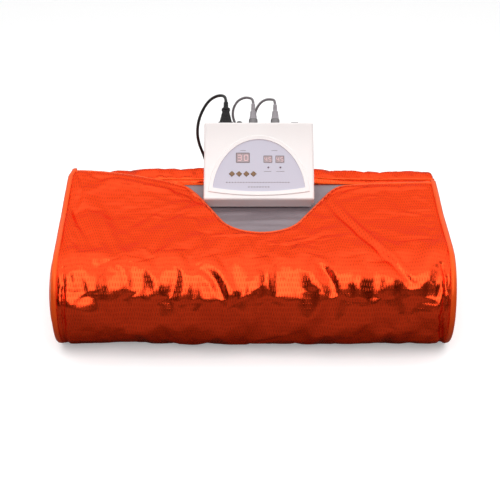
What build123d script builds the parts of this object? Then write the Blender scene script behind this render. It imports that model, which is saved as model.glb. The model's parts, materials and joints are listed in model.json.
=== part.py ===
from build123d import *
import os
from math import asin, atan2, cos, degrees, hypot, pi, radians, sin, tan

# An infrared sauna blanket, folded for storage, with its controller leaning on the padded head end.
# Millimetres, +Z up, +X to the user's right, -Y to the front. The origin is the centre of the
# flat panel that the folded blanket rests on.

# ---- driving dimensions: the blanket ----
WIDTH = 800            # along X, binding to binding
BINDING = 4            # thickness of the tape that closes each edge
LAYER = 24             # quilted base or flap, all its plies together
CLOSURE_GAP = 2        # between base and flap, filled by the closure tapes at the sides
PITCH = LAYER * 2 + CLOSURE_GAP + 2          # from one folded panel to the next
FRONT_Y = -131         # centre of both folds at the front
BACK_FOLD_Y = 154      # centre of the fold at the back
MIDDLE_Z = LAYER + CLOSURE_GAP / 2             # middle of the lowest panel
FOOT_Y = 188           # where the foot end's plies stop
BASE_HEAD_Y = 147      # where the base meets the head roll
FLAP_HEAD_Y = 134      # where the flap's head edge is bound
ROLL_Y, ROLL_Z, ROLL_RADIUS = 175, 193, 30   # padded roll at the head end of the base
NECK_X, NECK_Y, NECK_RADIUS, NECK_FLARE = 18, 30, 98, 25     # neck cut-out: its round end, degrees
LINING, MAT, CABLE = 1, 3, 1.5               # thickness of the inner plies
CABLE_WIDTH = 3
TAPE_IN, TAPE_OUT = 350, 390                 # closure tapes, from the middle

# ---- driving dimensions: the controller ----
CASE_WIDTH, CASE_FOOT = 236, 226             # across the top and at the tapered foot
CASE_DEPTH, CASE_TOP_DEPTH = 186, 172        # at the foot and at the top of the back wall
CASE_FRONT, CASE_BACK = 32, 79               # heights
CASE_SPLIT, WALL = 14, 2.5
LEAN = 27                                    # how far the case leans back, degrees
CASE_X, CASE_Y, CASE_Z = 14, 82.6, 180.3     # its front bottom edge
OVERLAY = 0.8                                # membrane sheet on the sloping face
DOME_HALF, DOME_RISE, DOME_Y, DOME_BOTTOM, DOME_SAG = 99.3, 127, 10, 26, 9
RIM_WIDTH, RIM_HEIGHT, RIM_CUT = 9, 1.8, 1.08
BOARD_DEPTH, BOARD = 12, 1.6                 # display board below the face
TIME_DISPLAY = (-34.4, 94.4, 28.3, 22)       # centre across and up the face, width, height
ZONE_DISPLAYS = {"upper_zone_display": (19.4, 91, 17.9, 15.6), "lower_zone_display": (45, 91, 17.9, 15.6)}
LED_PLACES = ((20.3, 72.4), (46.2, 72.4))
KEY_PLACES = {"key_power": -57.7, "key_time": -42.3, "key_temperature_up": -26.8,
              "key_temperature_down": -11.5}
KEY_V, KEY_SIDE = 57.5, 9.2
KEY_GAP, KEY_PROUD, KEY_TOP_CUT = 0.6, 0.9, 0.4
KEY_FLANGE_TOP, KEY_FLANGE_LOW, KEY_STEM, KEY_STEM_LOW = -2.7, -3.9, 1.5, -6.5
SOCKET_DOWN = 16                             # sockets below the top of the back wall
MAINS_X, UPPER_X, LOWER_X, ROCKER_X, FUSE_X = -72, -12, 36, 78, -42
EDGE_ROUND, INNER_ROUND = 5, 2.5
BOSS, BOSS_TOP, BOSS_RIB, BOSS_RIB_LENGTH = 4.5, 28, 3, 14
SCREW_HOLE, SCREW_DEPTH, HEAD_HOLE, HEAD_DEPTH = 1.5, 26, 3.2, 6
SCREW_RADIUS, SCREW_TOP, HEAD_RADIUS, HEAD_LOW = 1.45, 24, 2.8, 3.8
POST, MAIN_BOARD_Z = 3, 8
MAIN_POSTS = [(x, y) for x in (-75, 75) for y in (40, 130)]
DISPLAY_POSTS = [(x, up) for x in (-78, 66) for up in (50, 104)]
VENT, VENT_LENGTH, VENT_Y, VENT_X = 3, 40, 140, range(-24, 25, 8)
THROUGH = 4                                  # how far a cutter reaches past a wall, each way
LED_RADIUS, LED_HOLE = 2, 2.2
MAIN_BOARD = (170, 110, 85)                  # across, deep, and its middle
DISPLAY_BOARD = (156, 66, -6, 77)            # across, up, and its middle on the face
SWITCH_SIDE, SWITCH_HEIGHT, PLUNGER, PLUNGER_TOP = 6, 3.5, 1.7, 4.6
CORE, WINDING, CORE_X, CORE_Y = (46, 38, 26), (32, 44, 20), -56, 110
RELAY, RELAY_X, RELAY_Y = (15.5, 19, 16), (18, 42), 100
PAD_RADIUS, PAD_HEIGHT = 7, 3                # rubber feet
INLET, INLET_FLANGE, INLET_BORE, INLET_HOLE = (27, 19.6), (31, 23.5), (24.6, 17), (27.4, 20)
SOCKET_HOLE, FUSE_HOLE, ROCKER_HOLE = 7.3, 6, (13.2, 19.2)
SCREW_PLACES = ((-108, 20), (108, 20), (-108, 160), (108, 160))
FOOT_PLACES = ((-84, 24), (84, 24), (-84, 156), (84, 156))

# ---- driving dimensions: the leads ----
MAINS_LEAD, ZONE_LEAD = 6.5, 5.5             # diameters
MAINS_TIP, UPPER_TIP, LOWER_TIP = 57, 53, 51     # ends of the strain reliefs, out from the back wall
GLAND_X = {"upper": -91, "lower": 86}
GLAND_Z, GLAND_TIP = 142, 230
COIL_X, COIL_Y, COIL_Z = -94, 372.5, 1.5     # coil of spare mains lead, behind the blanket
COIL_TURN, COIL_RINGS, COIL_LAYERS = 42.5, 3, 2     # radius of its outer turn
PLUG_X, PLUG_Z = -19, 18.5                   # where the tail enters the wall plug

os.makedirs("parts", exist_ok=True)
cut_width = WIDTH - 2 * BINDING              # the plies, between the side bindings


def save(name, shape):
    """Write one sub-part, with its solids in one group."""
    solids = shape.solids()
    node = solids[0] if len(solids) == 1 else Compound(children=list(solids))
    node.label = name
    export_step(node, f"parts/{name}.step")


# ---- the folded plies ----
# A ply lies at a distance d from the middle of the bag: above 0 towards the flap's outside,
# below 0 towards the base's. The bag runs from the head on top, round the front, back along
# the floor, round the back, forward, round inside the front fold and back to the foot.
bag_top = MIDDLE_Z + 3 * PITCH               # height of the bag's middle in the top panel
outer_fold = (bag_top - MIDDLE_Z) / 2        # radius of the middle round the front
inner_fold = PITCH / 2
front_z = MIDDLE_Z + outer_fold
back_z = MIDDLE_Z + inner_fold


def fold_edges(d, head_y):
    """The line that a ply at distance d follows, as edges from the head to the foot."""
    top, low = bag_top + d, MIDDLE_Z - d
    third, fourth = MIDDLE_Z + PITCH + d, MIDDLE_Z + 2 * PITCH - d
    point = lambda y, z: (0, y, z)
    return [
        Line(point(head_y, top), point(FRONT_Y, top)),
        ThreePointArc(point(FRONT_Y, top), point(FRONT_Y - outer_fold - d, front_z), point(FRONT_Y, low)),
        Line(point(FRONT_Y, low), point(BACK_FOLD_Y, low)),
        ThreePointArc(point(BACK_FOLD_Y, low), point(BACK_FOLD_Y + inner_fold + d, back_z),
                      point(BACK_FOLD_Y, third)),
        Line(point(BACK_FOLD_Y, third), point(FRONT_Y, third)),
        ThreePointArc(point(FRONT_Y, third), point(FRONT_Y - inner_fold + d, front_z),
                      point(FRONT_Y, fourth)),
        Line(point(FRONT_Y, fourth), point(FOOT_Y, fourth)),
    ]


def ply(near, far, head_y, x_low, x_high):
    """A sheet between two distances from the bag's middle, folded with it."""
    inside, outside = fold_edges(near, head_y), fold_edges(far, head_y)
    ends = [Line(inside[0] @ 0, outside[0] @ 0), Line(inside[-1] @ 1, outside[-1] @ 1)]
    sheet = Face(Wire(inside + outside + ends))
    return Pos(x_low, 0, 0) * extrude(sheet, amount=x_high - x_low, dir=(1, 0, 0))


def block(x, y, z, centre):
    return Pos(*centre) * Box(x, y, z)


def neck_face(grow):
    """The neck cut-out seen from above, made smaller on every side by grow."""
    radius, flare = NECK_RADIUS - grow, radians(NECK_FLARE)
    side_x, side_y = radius * cos(flare), NECK_Y - radius * sin(flare)
    beyond = FLAP_HEAD_Y + 40
    top_x = side_x + (beyond - side_y) * tan(flare)
    outline = [
        ThreePointArc((NECK_X - side_x, side_y), (NECK_X, NECK_Y - radius), (NECK_X + side_x, side_y)),
        Line((NECK_X + side_x, side_y), (NECK_X + top_x, beyond)),
        Line((NECK_X + top_x, beyond), (NECK_X - top_x, beyond)),
        Line((NECK_X - top_x, beyond), (NECK_X - side_x, side_y)),
    ]
    return Face(Wire(outline))


flap_in, flap_out = CLOSURE_GAP / 2, CLOSURE_GAP / 2 + LAYER
mat_in = flap_in + LINING
cable_in = mat_in + MAT
wadding_in = cable_in + CABLE
neck_cut = Pos(0, 0, bag_top) * extrude(neck_face(0), amount=LAYER * 2)
neck_open = Pos(0, 0, bag_top) * extrude(neck_face(BINDING), amount=LAYER * 2)


def serpentine(runs, near, far, head_y, inset):
    """One heating cable, up and down the bag at the given places across it."""
    cable = [ply(near, far, head_y - inset, x - CABLE_WIDTH / 2, x + CABLE_WIDTH / 2) for x in runs]
    low, high = sorted((near, far))
    for n, (a, b) in enumerate(zip(runs, runs[1:])):
        at_head = n % 2 == 0
        y = head_y - inset - CABLE_WIDTH / 2 if at_head else FOOT_Y - CABLE_WIDTH / 2
        z = bag_top if at_head else MIDDLE_Z + 2 * PITCH
        middle = (low + high) / 2 * (1 if at_head else -1)
        cable.append(block(b - a, CABLE_WIDTH, high - low, ((a + b) / 2, y, z + middle)))
    return cable[0].fuse(*cable[1:]).clean()


half = cut_width / 2
flap_runs = (-370, -310, -250, -190, 190, 250, 310, 370)
base_runs = (-350, -250, -150, -50, 50, 150, 250, 350)
save("flap_lining", ply(flap_in, mat_in, FLAP_HEAD_Y, -half, half) - neck_cut)
save("flap_heater_mat", ply(mat_in, cable_in, FLAP_HEAD_Y, -half, half) - neck_cut)
save("flap_heating_cable", serpentine(flap_runs, cable_in, wadding_in, FLAP_HEAD_Y, 10))
save("base_lining", ply(-flap_in, -mat_in, BASE_HEAD_Y, -half, half))
save("base_heater_mat", ply(-mat_in, -cable_in, BASE_HEAD_Y, -half, half))
save("base_heating_cable", serpentine(base_runs, -cable_in, -wadding_in, BASE_HEAD_Y, 10))

# The thermal cut-out and the sensor of each zone sit in pockets of the wadding, over the cable's ply.
CUTOUT, SENSOR_RADIUS, SENSOR_LENGTH = (22, 9, 4), 2, 12
flap_pocket_z = bag_top + wadding_in
base_pocket_z = bag_top - wadding_in
cutouts = (block(*CUTOUT, (-220, -40, flap_pocket_z + CUTOUT[2] / 2))
           + block(*CUTOUT, (100, 0, base_pocket_z - CUTOUT[2] / 2)))
sensors = (Pos(-280, -40, flap_pocket_z + SENSOR_RADIUS) * Rot(0, 90, 0) * Cylinder(SENSOR_RADIUS, SENSOR_LENGTH)
           + Pos(200, 0, base_pocket_z - SENSOR_RADIUS) * Rot(0, 90, 0) * Cylinder(SENSOR_RADIUS, SENSOR_LENGTH))
save("thermal_cutouts", cutouts)
save("temperature_sensors", sensors)
save("flap_quilted_shell",
     ply(wadding_in, flap_out, FLAP_HEAD_Y, -half, half) - neck_cut - cutouts - sensors)
save("base_quilted_shell", ply(-wadding_in, -flap_out, BASE_HEAD_Y, -half, half) - cutouts - sensors)

for side, x_low in (("left", -WIDTH / 2), ("right", half)):
    save(f"flap_binding_{side}", ply(flap_in, flap_out, FLAP_HEAD_Y + BINDING, x_low, x_low + BINDING))
    save(f"base_binding_{side}", ply(-flap_in, -flap_out, BASE_HEAD_Y, x_low, x_low + BINDING))
head_strip = block(cut_width, BINDING, LAYER, (0, FLAP_HEAD_Y + BINDING / 2, bag_top + flap_in + LAYER / 2))
neck_band = ply(flap_in, flap_out, FLAP_HEAD_Y, -half, half) & (neck_cut - neck_open)
save("neck_binding", (head_strip - neck_open) + neck_band)
save("foot_binding", block(WIDTH, BINDING, 2 * LAYER + CLOSURE_GAP,
                           (0, FOOT_Y + BINDING / 2, MIDDLE_Z + 2 * PITCH)))
save("hook_tapes", ply(0, flap_in, FLAP_HEAD_Y, -TAPE_OUT, -TAPE_IN)
     + ply(0, flap_in, FLAP_HEAD_Y, TAPE_IN, TAPE_OUT))
save("loop_tapes", ply(0, -flap_in, FLAP_HEAD_Y, -TAPE_OUT, -TAPE_IN)
     + ply(0, -flap_in, FLAP_HEAD_Y, TAPE_IN, TAPE_OUT))

roll_tail = block(WIDTH, ROLL_Y - BASE_HEAD_Y, LAYER,
                  (0, (ROLL_Y + BASE_HEAD_Y) / 2, bag_top - flap_in - LAYER / 2))
save("head_bolster", Pos(0, ROLL_Y, ROLL_Z) * Rot(0, 90, 0) * Cylinder(ROLL_RADIUS, WIDTH) + roll_tail)

# ---- the controller, in its own upright frame: X across, Y back, Z up from its foot ----
place = Pos(CASE_X, CASE_Y, CASE_Z) * Rot(LEAN, 0, 0)
face_length = hypot(CASE_TOP_DEPTH, CASE_BACK - CASE_FRONT)
face_slope = atan2(CASE_BACK - CASE_FRONT, CASE_TOP_DEPTH)
back_length = hypot(CASE_DEPTH - CASE_TOP_DEPTH, CASE_BACK)
back_lean = atan2(CASE_DEPTH - CASE_TOP_DEPTH, CASE_BACK)


def on_face(x, up, out=0):
    """A frame on the sloping face: X across, Y up the face, Z out of it."""
    y = up * cos(face_slope) - out * sin(face_slope)
    z = CASE_FRONT + up * sin(face_slope) + out * cos(face_slope)
    return Plane(origin=(x, y, z), x_dir=(1, 0, 0), z_dir=(0, -sin(face_slope), cos(face_slope)))


def on_back(x, out=0):
    """A frame on the back wall at the height of the sockets, with Z along a plug's way out."""
    up = back_length - SOCKET_DOWN
    y = CASE_DEPTH - up * sin(back_lean) + out * cos(back_lean)
    z = up * cos(back_lean) + out * sin(back_lean)
    return Plane(origin=(x, y, z), x_dir=(1, 0, 0), z_dir=(0, cos(back_lean), sin(back_lean)))


def case_block(inset, round_edges):
    """The case's outline as one solid, made smaller on every side by inset."""
    side = Face(Wire.make_polygon([(0, 0, 0), (0, CASE_DEPTH, 0), (0, CASE_TOP_DEPTH, CASE_BACK),
                                   (0, 0, CASE_FRONT)]))
    wide, foot, tall = CASE_WIDTH / 2, CASE_FOOT / 2, 2 * CASE_BACK
    front = Face(Wire.make_polygon([(-foot, 0, 0), (foot, 0, 0), (wide, 0, CASE_FRONT / 2), (wide, 0, tall),
                                    (-wide, 0, tall), (-wide, 0, CASE_FRONT / 2)]))
    if inset:
        side = offset(side, amount=-inset, kind=Kind.INTERSECTION)
        front = offset(front, amount=-inset, kind=Kind.INTERSECTION)
    solid = (Pos(-CASE_WIDTH, 0, 0) * extrude(side, amount=2 * CASE_WIDTH, dir=(1, 0, 0))
             & Pos(0, -CASE_WIDTH, 0) * extrude(front, amount=3 * CASE_WIDTH, dir=(0, 1, 0)))
    return fillet(solid.edges(), round_edges)


def dome_face(grow):
    """The membrane's outline on the face, an elliptical arch over a sagging lower edge, grown on every side."""
    half, rise, bottom = DOME_HALF + grow, DOME_RISE + grow, DOME_BOTTOM - grow
    low = degrees(asin((bottom - DOME_Y) / rise))
    arch = EllipticalCenterArc((0, DOME_Y), half, rise, start_angle=low, arc_size=180 - 2 * low)
    sill = ThreePointArc(arch @ 1, (0, bottom - DOME_SAG), arch @ 0)
    return Face(Wire([arch, sill]))


def placed(plane, shape):
    return plane.location * shape


def diamond(side, bottom, top):
    """A square prism standing on its corner, between two heights."""
    return Pos(0, 0, (bottom + top) / 2) * Rot(0, 0, 45) * Box(side, side, top - bottom)


def rod(radius, bottom, top, x=0, y=0):
    return Pos(x, y, (bottom + top) / 2) * Cylinder(radius, top - bottom)


def panel(width, height, bottom, top):
    return Pos(0, 0, (bottom + top) / 2) * Box(width, height, top - bottom)


def turned(profile):
    """A solid of revolution about Z, from (radius, height) corners."""
    return revolve(Face(Wire.make_polygon([(r, 0, z) for r, z in profile])), Axis.Z)


outside, inside = case_block(0, EDGE_ROUND), case_block(WALL, INNER_ROUND)
low_half = block(2 * CASE_WIDTH, 4 * CASE_DEPTH, 2 * CASE_SPLIT, (0, 0, 0))
low_boss = Part() + [rod(BOSS, WALL, CASE_SPLIT, x, y) for x, y in SCREW_PLACES]
high_boss = Part() + [rod(BOSS, CASE_SPLIT, BOSS_TOP, x, y)
                      + block(BOSS_RIB_LENGTH, BOSS_RIB, BOSS_TOP - CASE_SPLIT,
                              (x + BOSS_RIB_LENGTH / 2 * x / abs(x), y, (BOSS_TOP + CASE_SPLIT) / 2))
                      for x, y in SCREW_PLACES]
board_boss = Part() + [rod(POST, WALL, MAIN_BOARD_Z, x, y) for x, y in MAIN_POSTS]
screw_hole = Part() + [rod(SCREW_HOLE, 0, SCREW_DEPTH, x, y) + rod(HEAD_HOLE, 0, HEAD_DEPTH, x, y)
                       for x, y in SCREW_PLACES]
vents = Part() + [block(VENT, VENT_LENGTH, 3 * WALL, (x, VENT_Y, WALL / 2)) for x in VENT_X]
bottom_shell = ((outside - inside) & low_half) + (low_boss & outside) + board_boss - screw_hole - vents
save("console_bottom_shell", place * bottom_shell)

pocket = Pos(0, 0, -OVERLAY) * extrude(dome_face(0), amount=OVERLAY)
pad = extrude(dome_face(RIM_WIDTH), amount=RIM_HEIGHT)
rim = chamfer(pad.faces().sort_by(Axis.Z)[-1].edges(), RIM_CUT) - extrude(dome_face(0), amount=RIM_HEIGHT)
displays = {"time_display": TIME_DISPLAY, **ZONE_DISPLAYS}
WINDOW_GAP = 0.2
face_holes = Part()
for x, up, width, height in displays.values():
    face_holes += placed(on_face(x, up), panel(width + 2 * WINDOW_GAP, height + 2 * WINDOW_GAP,
                                              -THROUGH, THROUGH))
for x, up in LED_PLACES:
    face_holes += placed(on_face(x, up), rod(LED_HOLE, -THROUGH, THROUGH))
for x in KEY_PLACES.values():
    face_holes += placed(on_face(x, KEY_V), diamond(KEY_SIDE + KEY_GAP, -THROUGH, THROUGH))
board_posts = Part() + [placed(on_face(x, up), rod(POST, -BOARD_DEPTH, -WALL + 0.5)) for x, up in DISPLAY_POSTS]
inlet_hole = placed(on_back(MAINS_X), panel(*INLET_HOLE, -THROUGH, THROUGH))
round_holes = (Part() + [placed(on_back(x), rod(SOCKET_HOLE, -THROUGH, THROUGH)) for x in (UPPER_X, LOWER_X)]
               + placed(on_back(FUSE_X), rod(FUSE_HOLE, -THROUGH, THROUGH)))
rocker_hole = placed(on_back(ROCKER_X), panel(*ROCKER_HOLE, -THROUGH, THROUGH))
top_shell = ((outside - inside) - low_half) + (high_boss & outside) + board_posts
top_shell = top_shell - placed(on_face(0, 0), pocket) + placed(on_face(0, 0), rim)
top_shell = top_shell - face_holes - inlet_hole - round_holes - rocker_hole - screw_hole
save("console_top_shell", place * top_shell)
save("membrane_overlay", place * (placed(on_face(0, 0), pocket) - face_holes))

for name, (x, up, width, height) in displays.items():
    save(name, place * placed(on_face(x, up), panel(width, height, -BOARD_DEPTH, 0)))
save("status_leds", place * (Part() + [placed(on_face(x, up), rod(LED_RADIUS, -BOARD_DEPTH, 0) + Sphere(LED_RADIUS))
                                       for x, up in LED_PLACES]))
board_wide, board_tall, board_x, board_up = DISPLAY_BOARD
save("display_board", place * placed(on_face(board_x, board_up, -BOARD_DEPTH), panel(board_wide, board_tall, -BOARD, 0)))
save("key_switches", place * (Part() + [placed(on_face(x, KEY_V, -BOARD_DEPTH), panel(SWITCH_SIDE, SWITCH_SIDE, 0, SWITCH_HEIGHT)
                                               + rod(PLUNGER, SWITCH_HEIGHT, PLUNGER_TOP)) for x in KEY_PLACES.values()]))
for name, x in KEY_PLACES.items():
    cap = chamfer(diamond(KEY_SIDE, KEY_FLANGE_TOP, KEY_PROUD).faces().sort_by(Axis.Z)[-1].edges(), KEY_TOP_CUT)
    key = cap + diamond(KEY_SIDE + 1, KEY_FLANGE_LOW, KEY_FLANGE_TOP) + rod(KEY_STEM, KEY_STEM_LOW, KEY_FLANGE_LOW)
    save(name, place * placed(on_face(x, KEY_V), key))

board_across, board_deep, board_y = MAIN_BOARD
board_top = MAIN_BOARD_Z + BOARD
core_middle = (CORE_X, CORE_Y, board_top + CORE[2] / 2)
save("main_board", place * block(board_across, board_deep, BOARD, (0, board_y, MAIN_BOARD_Z + BOARD / 2)))
save("transformer", place * (block(*CORE, core_middle) + block(*WINDING, core_middle)))
save("zone_relays", place * (Part() + [block(*RELAY, (x, RELAY_Y, board_top + RELAY[2] / 2)) for x in RELAY_X]))
save("rubber_feet", place * (Part() + [rod(PAD_RADIUS, -PAD_HEIGHT, 0, x, y) for x, y in FOOT_PLACES]))
save("case_screws", place * (Part() + [rod(SCREW_RADIUS, HEAD_DEPTH, SCREW_TOP, x, y)
                                       + rod(HEAD_RADIUS, HEAD_LOW, HEAD_DEPTH, x, y) for x, y in SCREW_PLACES]))

# ---- the back wall's fittings, each drawn with Z along the way out ----
PIN_X = (-7, 0, 7)
inlet = panel(*INLET, -22, 0) + panel(*INLET_FLANGE, 0, 2.5) - panel(*INLET_BORE, -17, 3)
inlet += Part() + [Pos(x, 2 if x == 0 else -2, -10) * Box(2, 4, 14) for x in PIN_X]
save("power_inlet", place * placed(on_back(MAINS_X), inlet))
nose = panel(24, 16.4, -16.6, 2.9)
nose -= Part() + [Pos(x, 2 if x == 0 else -2, -8.6) * Box(2.4, 4.4, 17) for x in PIN_X]
grip = loft([Plane.XY.offset(2.9) * RectangleRounded(27, 21, 4), Plane.XY.offset(36) * RectangleRounded(14, 13, 4)])
collar = rod(9.3, 36, 40.5)
save("mains_connector", place * placed(on_back(MAINS_X), nose + grip + collar))
save("mains_strain_relief", place * placed(on_back(MAINS_X), turned(
    [(0, 40.5), (5.3, 40.5), (4.5, MAINS_TIP), (0, MAINS_TIP)])))

SOCKET_PINS = ((2.4, 1.4), (-2.4, 1.4), (0, -2.8))
socket = turned([(0, -14), (6.6, -14), (6.6, 0), (10, 0), (10, 2), (6.7, 2), (6.7, 9), (5.1, 9), (5.1, -8), (0, -8)])
socket += Part() + [rod(0.8, -8, -1, x, y) for x, y in SOCKET_PINS]
save("output_sockets", place * (placed(on_back(UPPER_X), socket) + placed(on_back(LOWER_X), socket)))
ring_profile = [(7.2, 2.4), (9.5, 2.4), (9.5, 12.9), (5.3, 12.9), (5.3, 9.4), (7.2, 9.4)]
for zone, x, tip in (("upper", UPPER_X, UPPER_TIP), ("lower", LOWER_X, LOWER_TIP)):
    plug = turned([(0, -7.5), (4.8, -7.5), (4.8, 13.2), (8, 13.2), (7.8, 18), (5.6, 33.5), (4.9, 33.5),
                   (3.9, tip), (0, tip)])
    plug -= Part() + [rod(1.1, -8, -0.5, px, py) for px, py in SOCKET_PINS]
    save(f"{zone}_zone_plug", place * placed(on_back(x), plug))
    save(f"{zone}_coupling_ring", place * placed(on_back(x), turned(ring_profile)))

ROCKER_PIVOT, ROCKER_ROUND = -2.5, 8.2
frame = panel(13, 19, -14, 0) + panel(15, 21, 0, 1.8) - panel(10.8, 17, -12.5, 2)
pivot_bore = Pos(0, 0, ROCKER_PIVOT) * Rot(0, 90, 0) * Cylinder(1.1, 12.6)
save("rocker_frame", place * placed(on_back(ROCKER_X), frame - pivot_bore))
drum = Pos(0, 0, ROCKER_PIVOT) * Rot(0, 90, 0) * Cylinder(ROCKER_ROUND, 10.2)
v_cut = [Pos(0, way * 6.5, 2.6 + 5) * Rot(way * 11, 0, 0) * Box(20, 14, 10) for way in (-1, 1)]
under = Pos(0, 0, -12.4) * Box(20, 20, 10)
rocker = drum - v_cut[0] - v_cut[1] - under + Pos(0, 0, ROCKER_PIVOT) * Rot(0, 90, 0) * Cylinder(1, 12.2)
save("power_rocker", place * placed(on_back(ROCKER_X), Pos(0, 0, ROCKER_PIVOT) * Rot(-9, 0, 0)
                                    * Pos(0, 0, -ROCKER_PIVOT) * rocker))

save("fuse_holder", place * placed(on_back(FUSE_X), turned(
    [(0, -27), (5.9, -27), (5.9, 0), (7.5, 0), (7.5, 2), (4.1, 2), (4.1, -24), (0, -24)])))
save("fuse", place * placed(on_back(FUSE_X), rod(2.6, -24, -4)))
fuse_cap = turned([(0, -3), (3.7, -3), (3.7, 2.3), (6.2, 2.3), (6.2, 6.5), (5.6, 7.1), (0, 7.1)])
save("fuse_cap", place * placed(on_back(FUSE_X), fuse_cap - Pos(0, 0, 6.9) * Box(8, 1.4, 2)))

# ---- the leads ----
def world(plane_point):
    """A point of the controller's own frame, in the blanket's frame."""
    return (place * Pos(*plane_point)).position


def tip_of(x, out):
    return world(tuple(on_back(x, out).origin))


def corner_radii(points):
    """A radius for each corner of a route: 0.45 of its shorter run over the tangent of half its turn."""
    radii = []
    for a, b, c in zip(points, points[1:], points[2:]):
        turn = (b - a).get_angle(c - b)
        radii.append(0.45 * min((b - a).length, (c - b).length) / tan(radians(turn / 2)))
    return radii


def tube(name, points, diameter):
    """A lead along a route of straight runs joined by tangent arcs."""
    points = [Vector(*p) for p in points]
    radii = corner_radii(points)
    path = FilletPolyline(*points, radius=radii)
    start = Plane(origin=path @ 0, z_dir=path % 0)
    lead = sweep(start * Circle(diameter / 2), path=path)
    print(name, "length", round(path.length), "radii", [round(r) for r in radii],
          "volume over section times length", round(lead.volume / (pi * diameter**2 / 4 * path.length), 4))
    return lead


way_out = tip_of(0, 1) - tip_of(0, 0)
mains_tip, upper_tip, lower_tip = tip_of(MAINS_X, MAINS_TIP), tip_of(UPPER_X, UPPER_TIP), tip_of(LOWER_X, LOWER_TIP)
coil_in = (COIL_X - COIL_TURN * 0.8, COIL_Y - COIL_TURN * 0.6, COIL_Z + MAINS_LEAD * 1.5)
mains_route = [mains_tip, mains_tip + way_out * 12, (-66, 277, 359.5), (-81, 283, 354), (-95, 285, 342),
               (-107, 281, 323), (-117, 277, 299), (-122, 273, 270), (-119, 271, 241), (-108, 273, 208),
               (-99, 278, 166), (-97, 285, 120), (-99, 294, 79), (-103, 306, 46), (-109, 318, 24),
               (-115, 330, 13.2), coil_in]
upper_route = [upper_tip, upper_tip + way_out * 11, (-7, 270, 356), (-19, 276, 354), (-32, 278, 345),
               (-41, 275.5, 329), (-43.5, 272, 311), (-38, 269, 292), (-31, 267.5, 268), (-27, 266.5, 232),
               (-28, 267.5, 186), (-30, 269, 140), (-31, 269, 99), (-33, 268, 66), (-38, 266, 42), (-47, 264, 26),
               (-60, 262, 19), (-73, 261, 24), (-84, 260, 38), (-90, 260, 57), (-91, 261, 79), (-91, 262, 98),
               (-91, 261, 113), (-91, 258, 126), (-91, 250, 136.5), (-91, 240, GLAND_Z),
               (-91, GLAND_TIP, GLAND_Z)]
lower_route = [lower_tip, lower_tip + way_out * 11, (42, 268, 353.5), (30, 274, 351), (18, 276, 342.5),
               (9, 273.5, 327), (6, 270, 308), (9, 267.5, 286), (14, 267, 257), (17.5, 268, 222), (20, 270, 178),
               (21, 271, 132), (22, 271, 93), (24, 270, 63), (29, 268, 40), (39, 265, 25), (53, 263, 19),
               (66, 261, 24), (77, 260, 38), (83, 261, 58), (86, 262, 79), (86, 262, 98), (86, 261, 113),
               (86, 258, 126), (86, 250, 136.5), (86, 240, GLAND_Z), (86, GLAND_TIP, GLAND_Z)]
coil_out = (COIL_X, COIL_Y + COIL_TURN, COIL_Z + MAINS_LEAD / 2)
tail_route = [coil_out, (-80, 415, 4.75), (-66, 414.6, 7), (-53, 413.4, 12), (-41, 412.6, 17),
              (-30, 412.5, PLUG_Z), (PLUG_X, 412.5, PLUG_Z)]
mains_lead = tube("mains_lead", mains_route, MAINS_LEAD)
tail = tube("mains_lead_tail", tail_route, MAINS_LEAD)
save("mains_lead", mains_lead)
save("mains_lead_tail", tail)
save("upper_zone_lead", tube("upper_zone_lead", upper_route, ZONE_LEAD))
save("lower_zone_lead", tube("lower_zone_lead", lower_route, ZONE_LEAD))

coil_outer = COIL_TURN + MAINS_LEAD / 2
coil_inner = coil_outer - COIL_RINGS * MAINS_LEAD
coil_height = COIL_LAYERS * MAINS_LEAD
coil = turned([(coil_inner, 0), (coil_outer, 0), (coil_outer, coil_height), (coil_inner, coil_height)])
coil = Pos(COIL_X, COIL_Y, COIL_Z) * coil - mains_lead - tail
save("mains_lead_coil", coil)
TIE = 1.2
tie_middle = (COIL_X + (coil_outer + coil_inner) / 2, COIL_Y, COIL_Z + coil_height / 2)
tie_outer = block(coil_outer - coil_inner + 2 * TIE + 0.6, 12, coil_height + 2 * TIE, tie_middle)
save("coil_tie", tie_outer - block(coil_outer - coil_inner + 0.6, 12, coil_height, tie_middle) - coil)

wall_plug = turned([(0, 0), (4, 0), (5.2, 24), (9, 26), (15, 34), (16, 44), (18.5, 46), (18.5, 54), (0, 54)])
along_x = Pos(PLUG_X, tail_route[-1][1], PLUG_Z) * Rot(0, 90, 0)
save("wall_plug", along_x * wall_plug)
save("wall_plug_pins", along_x * (Part() + [rod(2.4, 54, 73, 0, y) for y in (-9.5, 9.5)]))

gland = Rot(-90, 0, 0) * turned([(0, 0), (9, 0), (9, 3), (6.2, 4), (5.6, 12), (3.8, GLAND_TIP - FOOT_Y - BINDING),
                                 (0, GLAND_TIP - FOOT_Y - BINDING)])
save("lead_glands", Part() + [Pos(x, FOOT_Y + BINDING, GLAND_Z) * gland for x in GLAND_X.values()])

# ---- numbers that the joints use ----
print("face normal", (place * on_face(0, 0).location).z_axis.direction)
print("way out", way_out)
for name, x in KEY_PLACES.items():
    print(name, world(tuple(on_face(x, KEY_V).origin)))
print("rocker pivot", tip_of(ROCKER_X, ROCKER_PIVOT), "fuse", tip_of(FUSE_X, 0))
print("rings", tip_of(UPPER_X, 5), tip_of(LOWER_X, 5))
print("tips", mains_tip, upper_tip, lower_tip)
print("folded length of the bag's middle", round(sum(e.length for e in fold_edges(0, FLAP_HEAD_Y))))
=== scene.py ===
# %% [markdown]
# # A folded sauna blanket and its controller
# The blanket is a quilted nylon bag, heated from inside and folded into four panels for storage.
# Its controller leans on the padded roll at the head end, with a mains lead and two zone leads behind.
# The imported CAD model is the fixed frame: hard parts keep their CAD shape and get a finish, while soft
# parts and cords are made again here, each in the space that its CAD solid holds.

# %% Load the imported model
import json
from math import atan2, cos, floor, hypot, pi, radians, sin, tan

import bpy
import numpy as np
from mathutils import Matrix, Vector, noise


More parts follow.
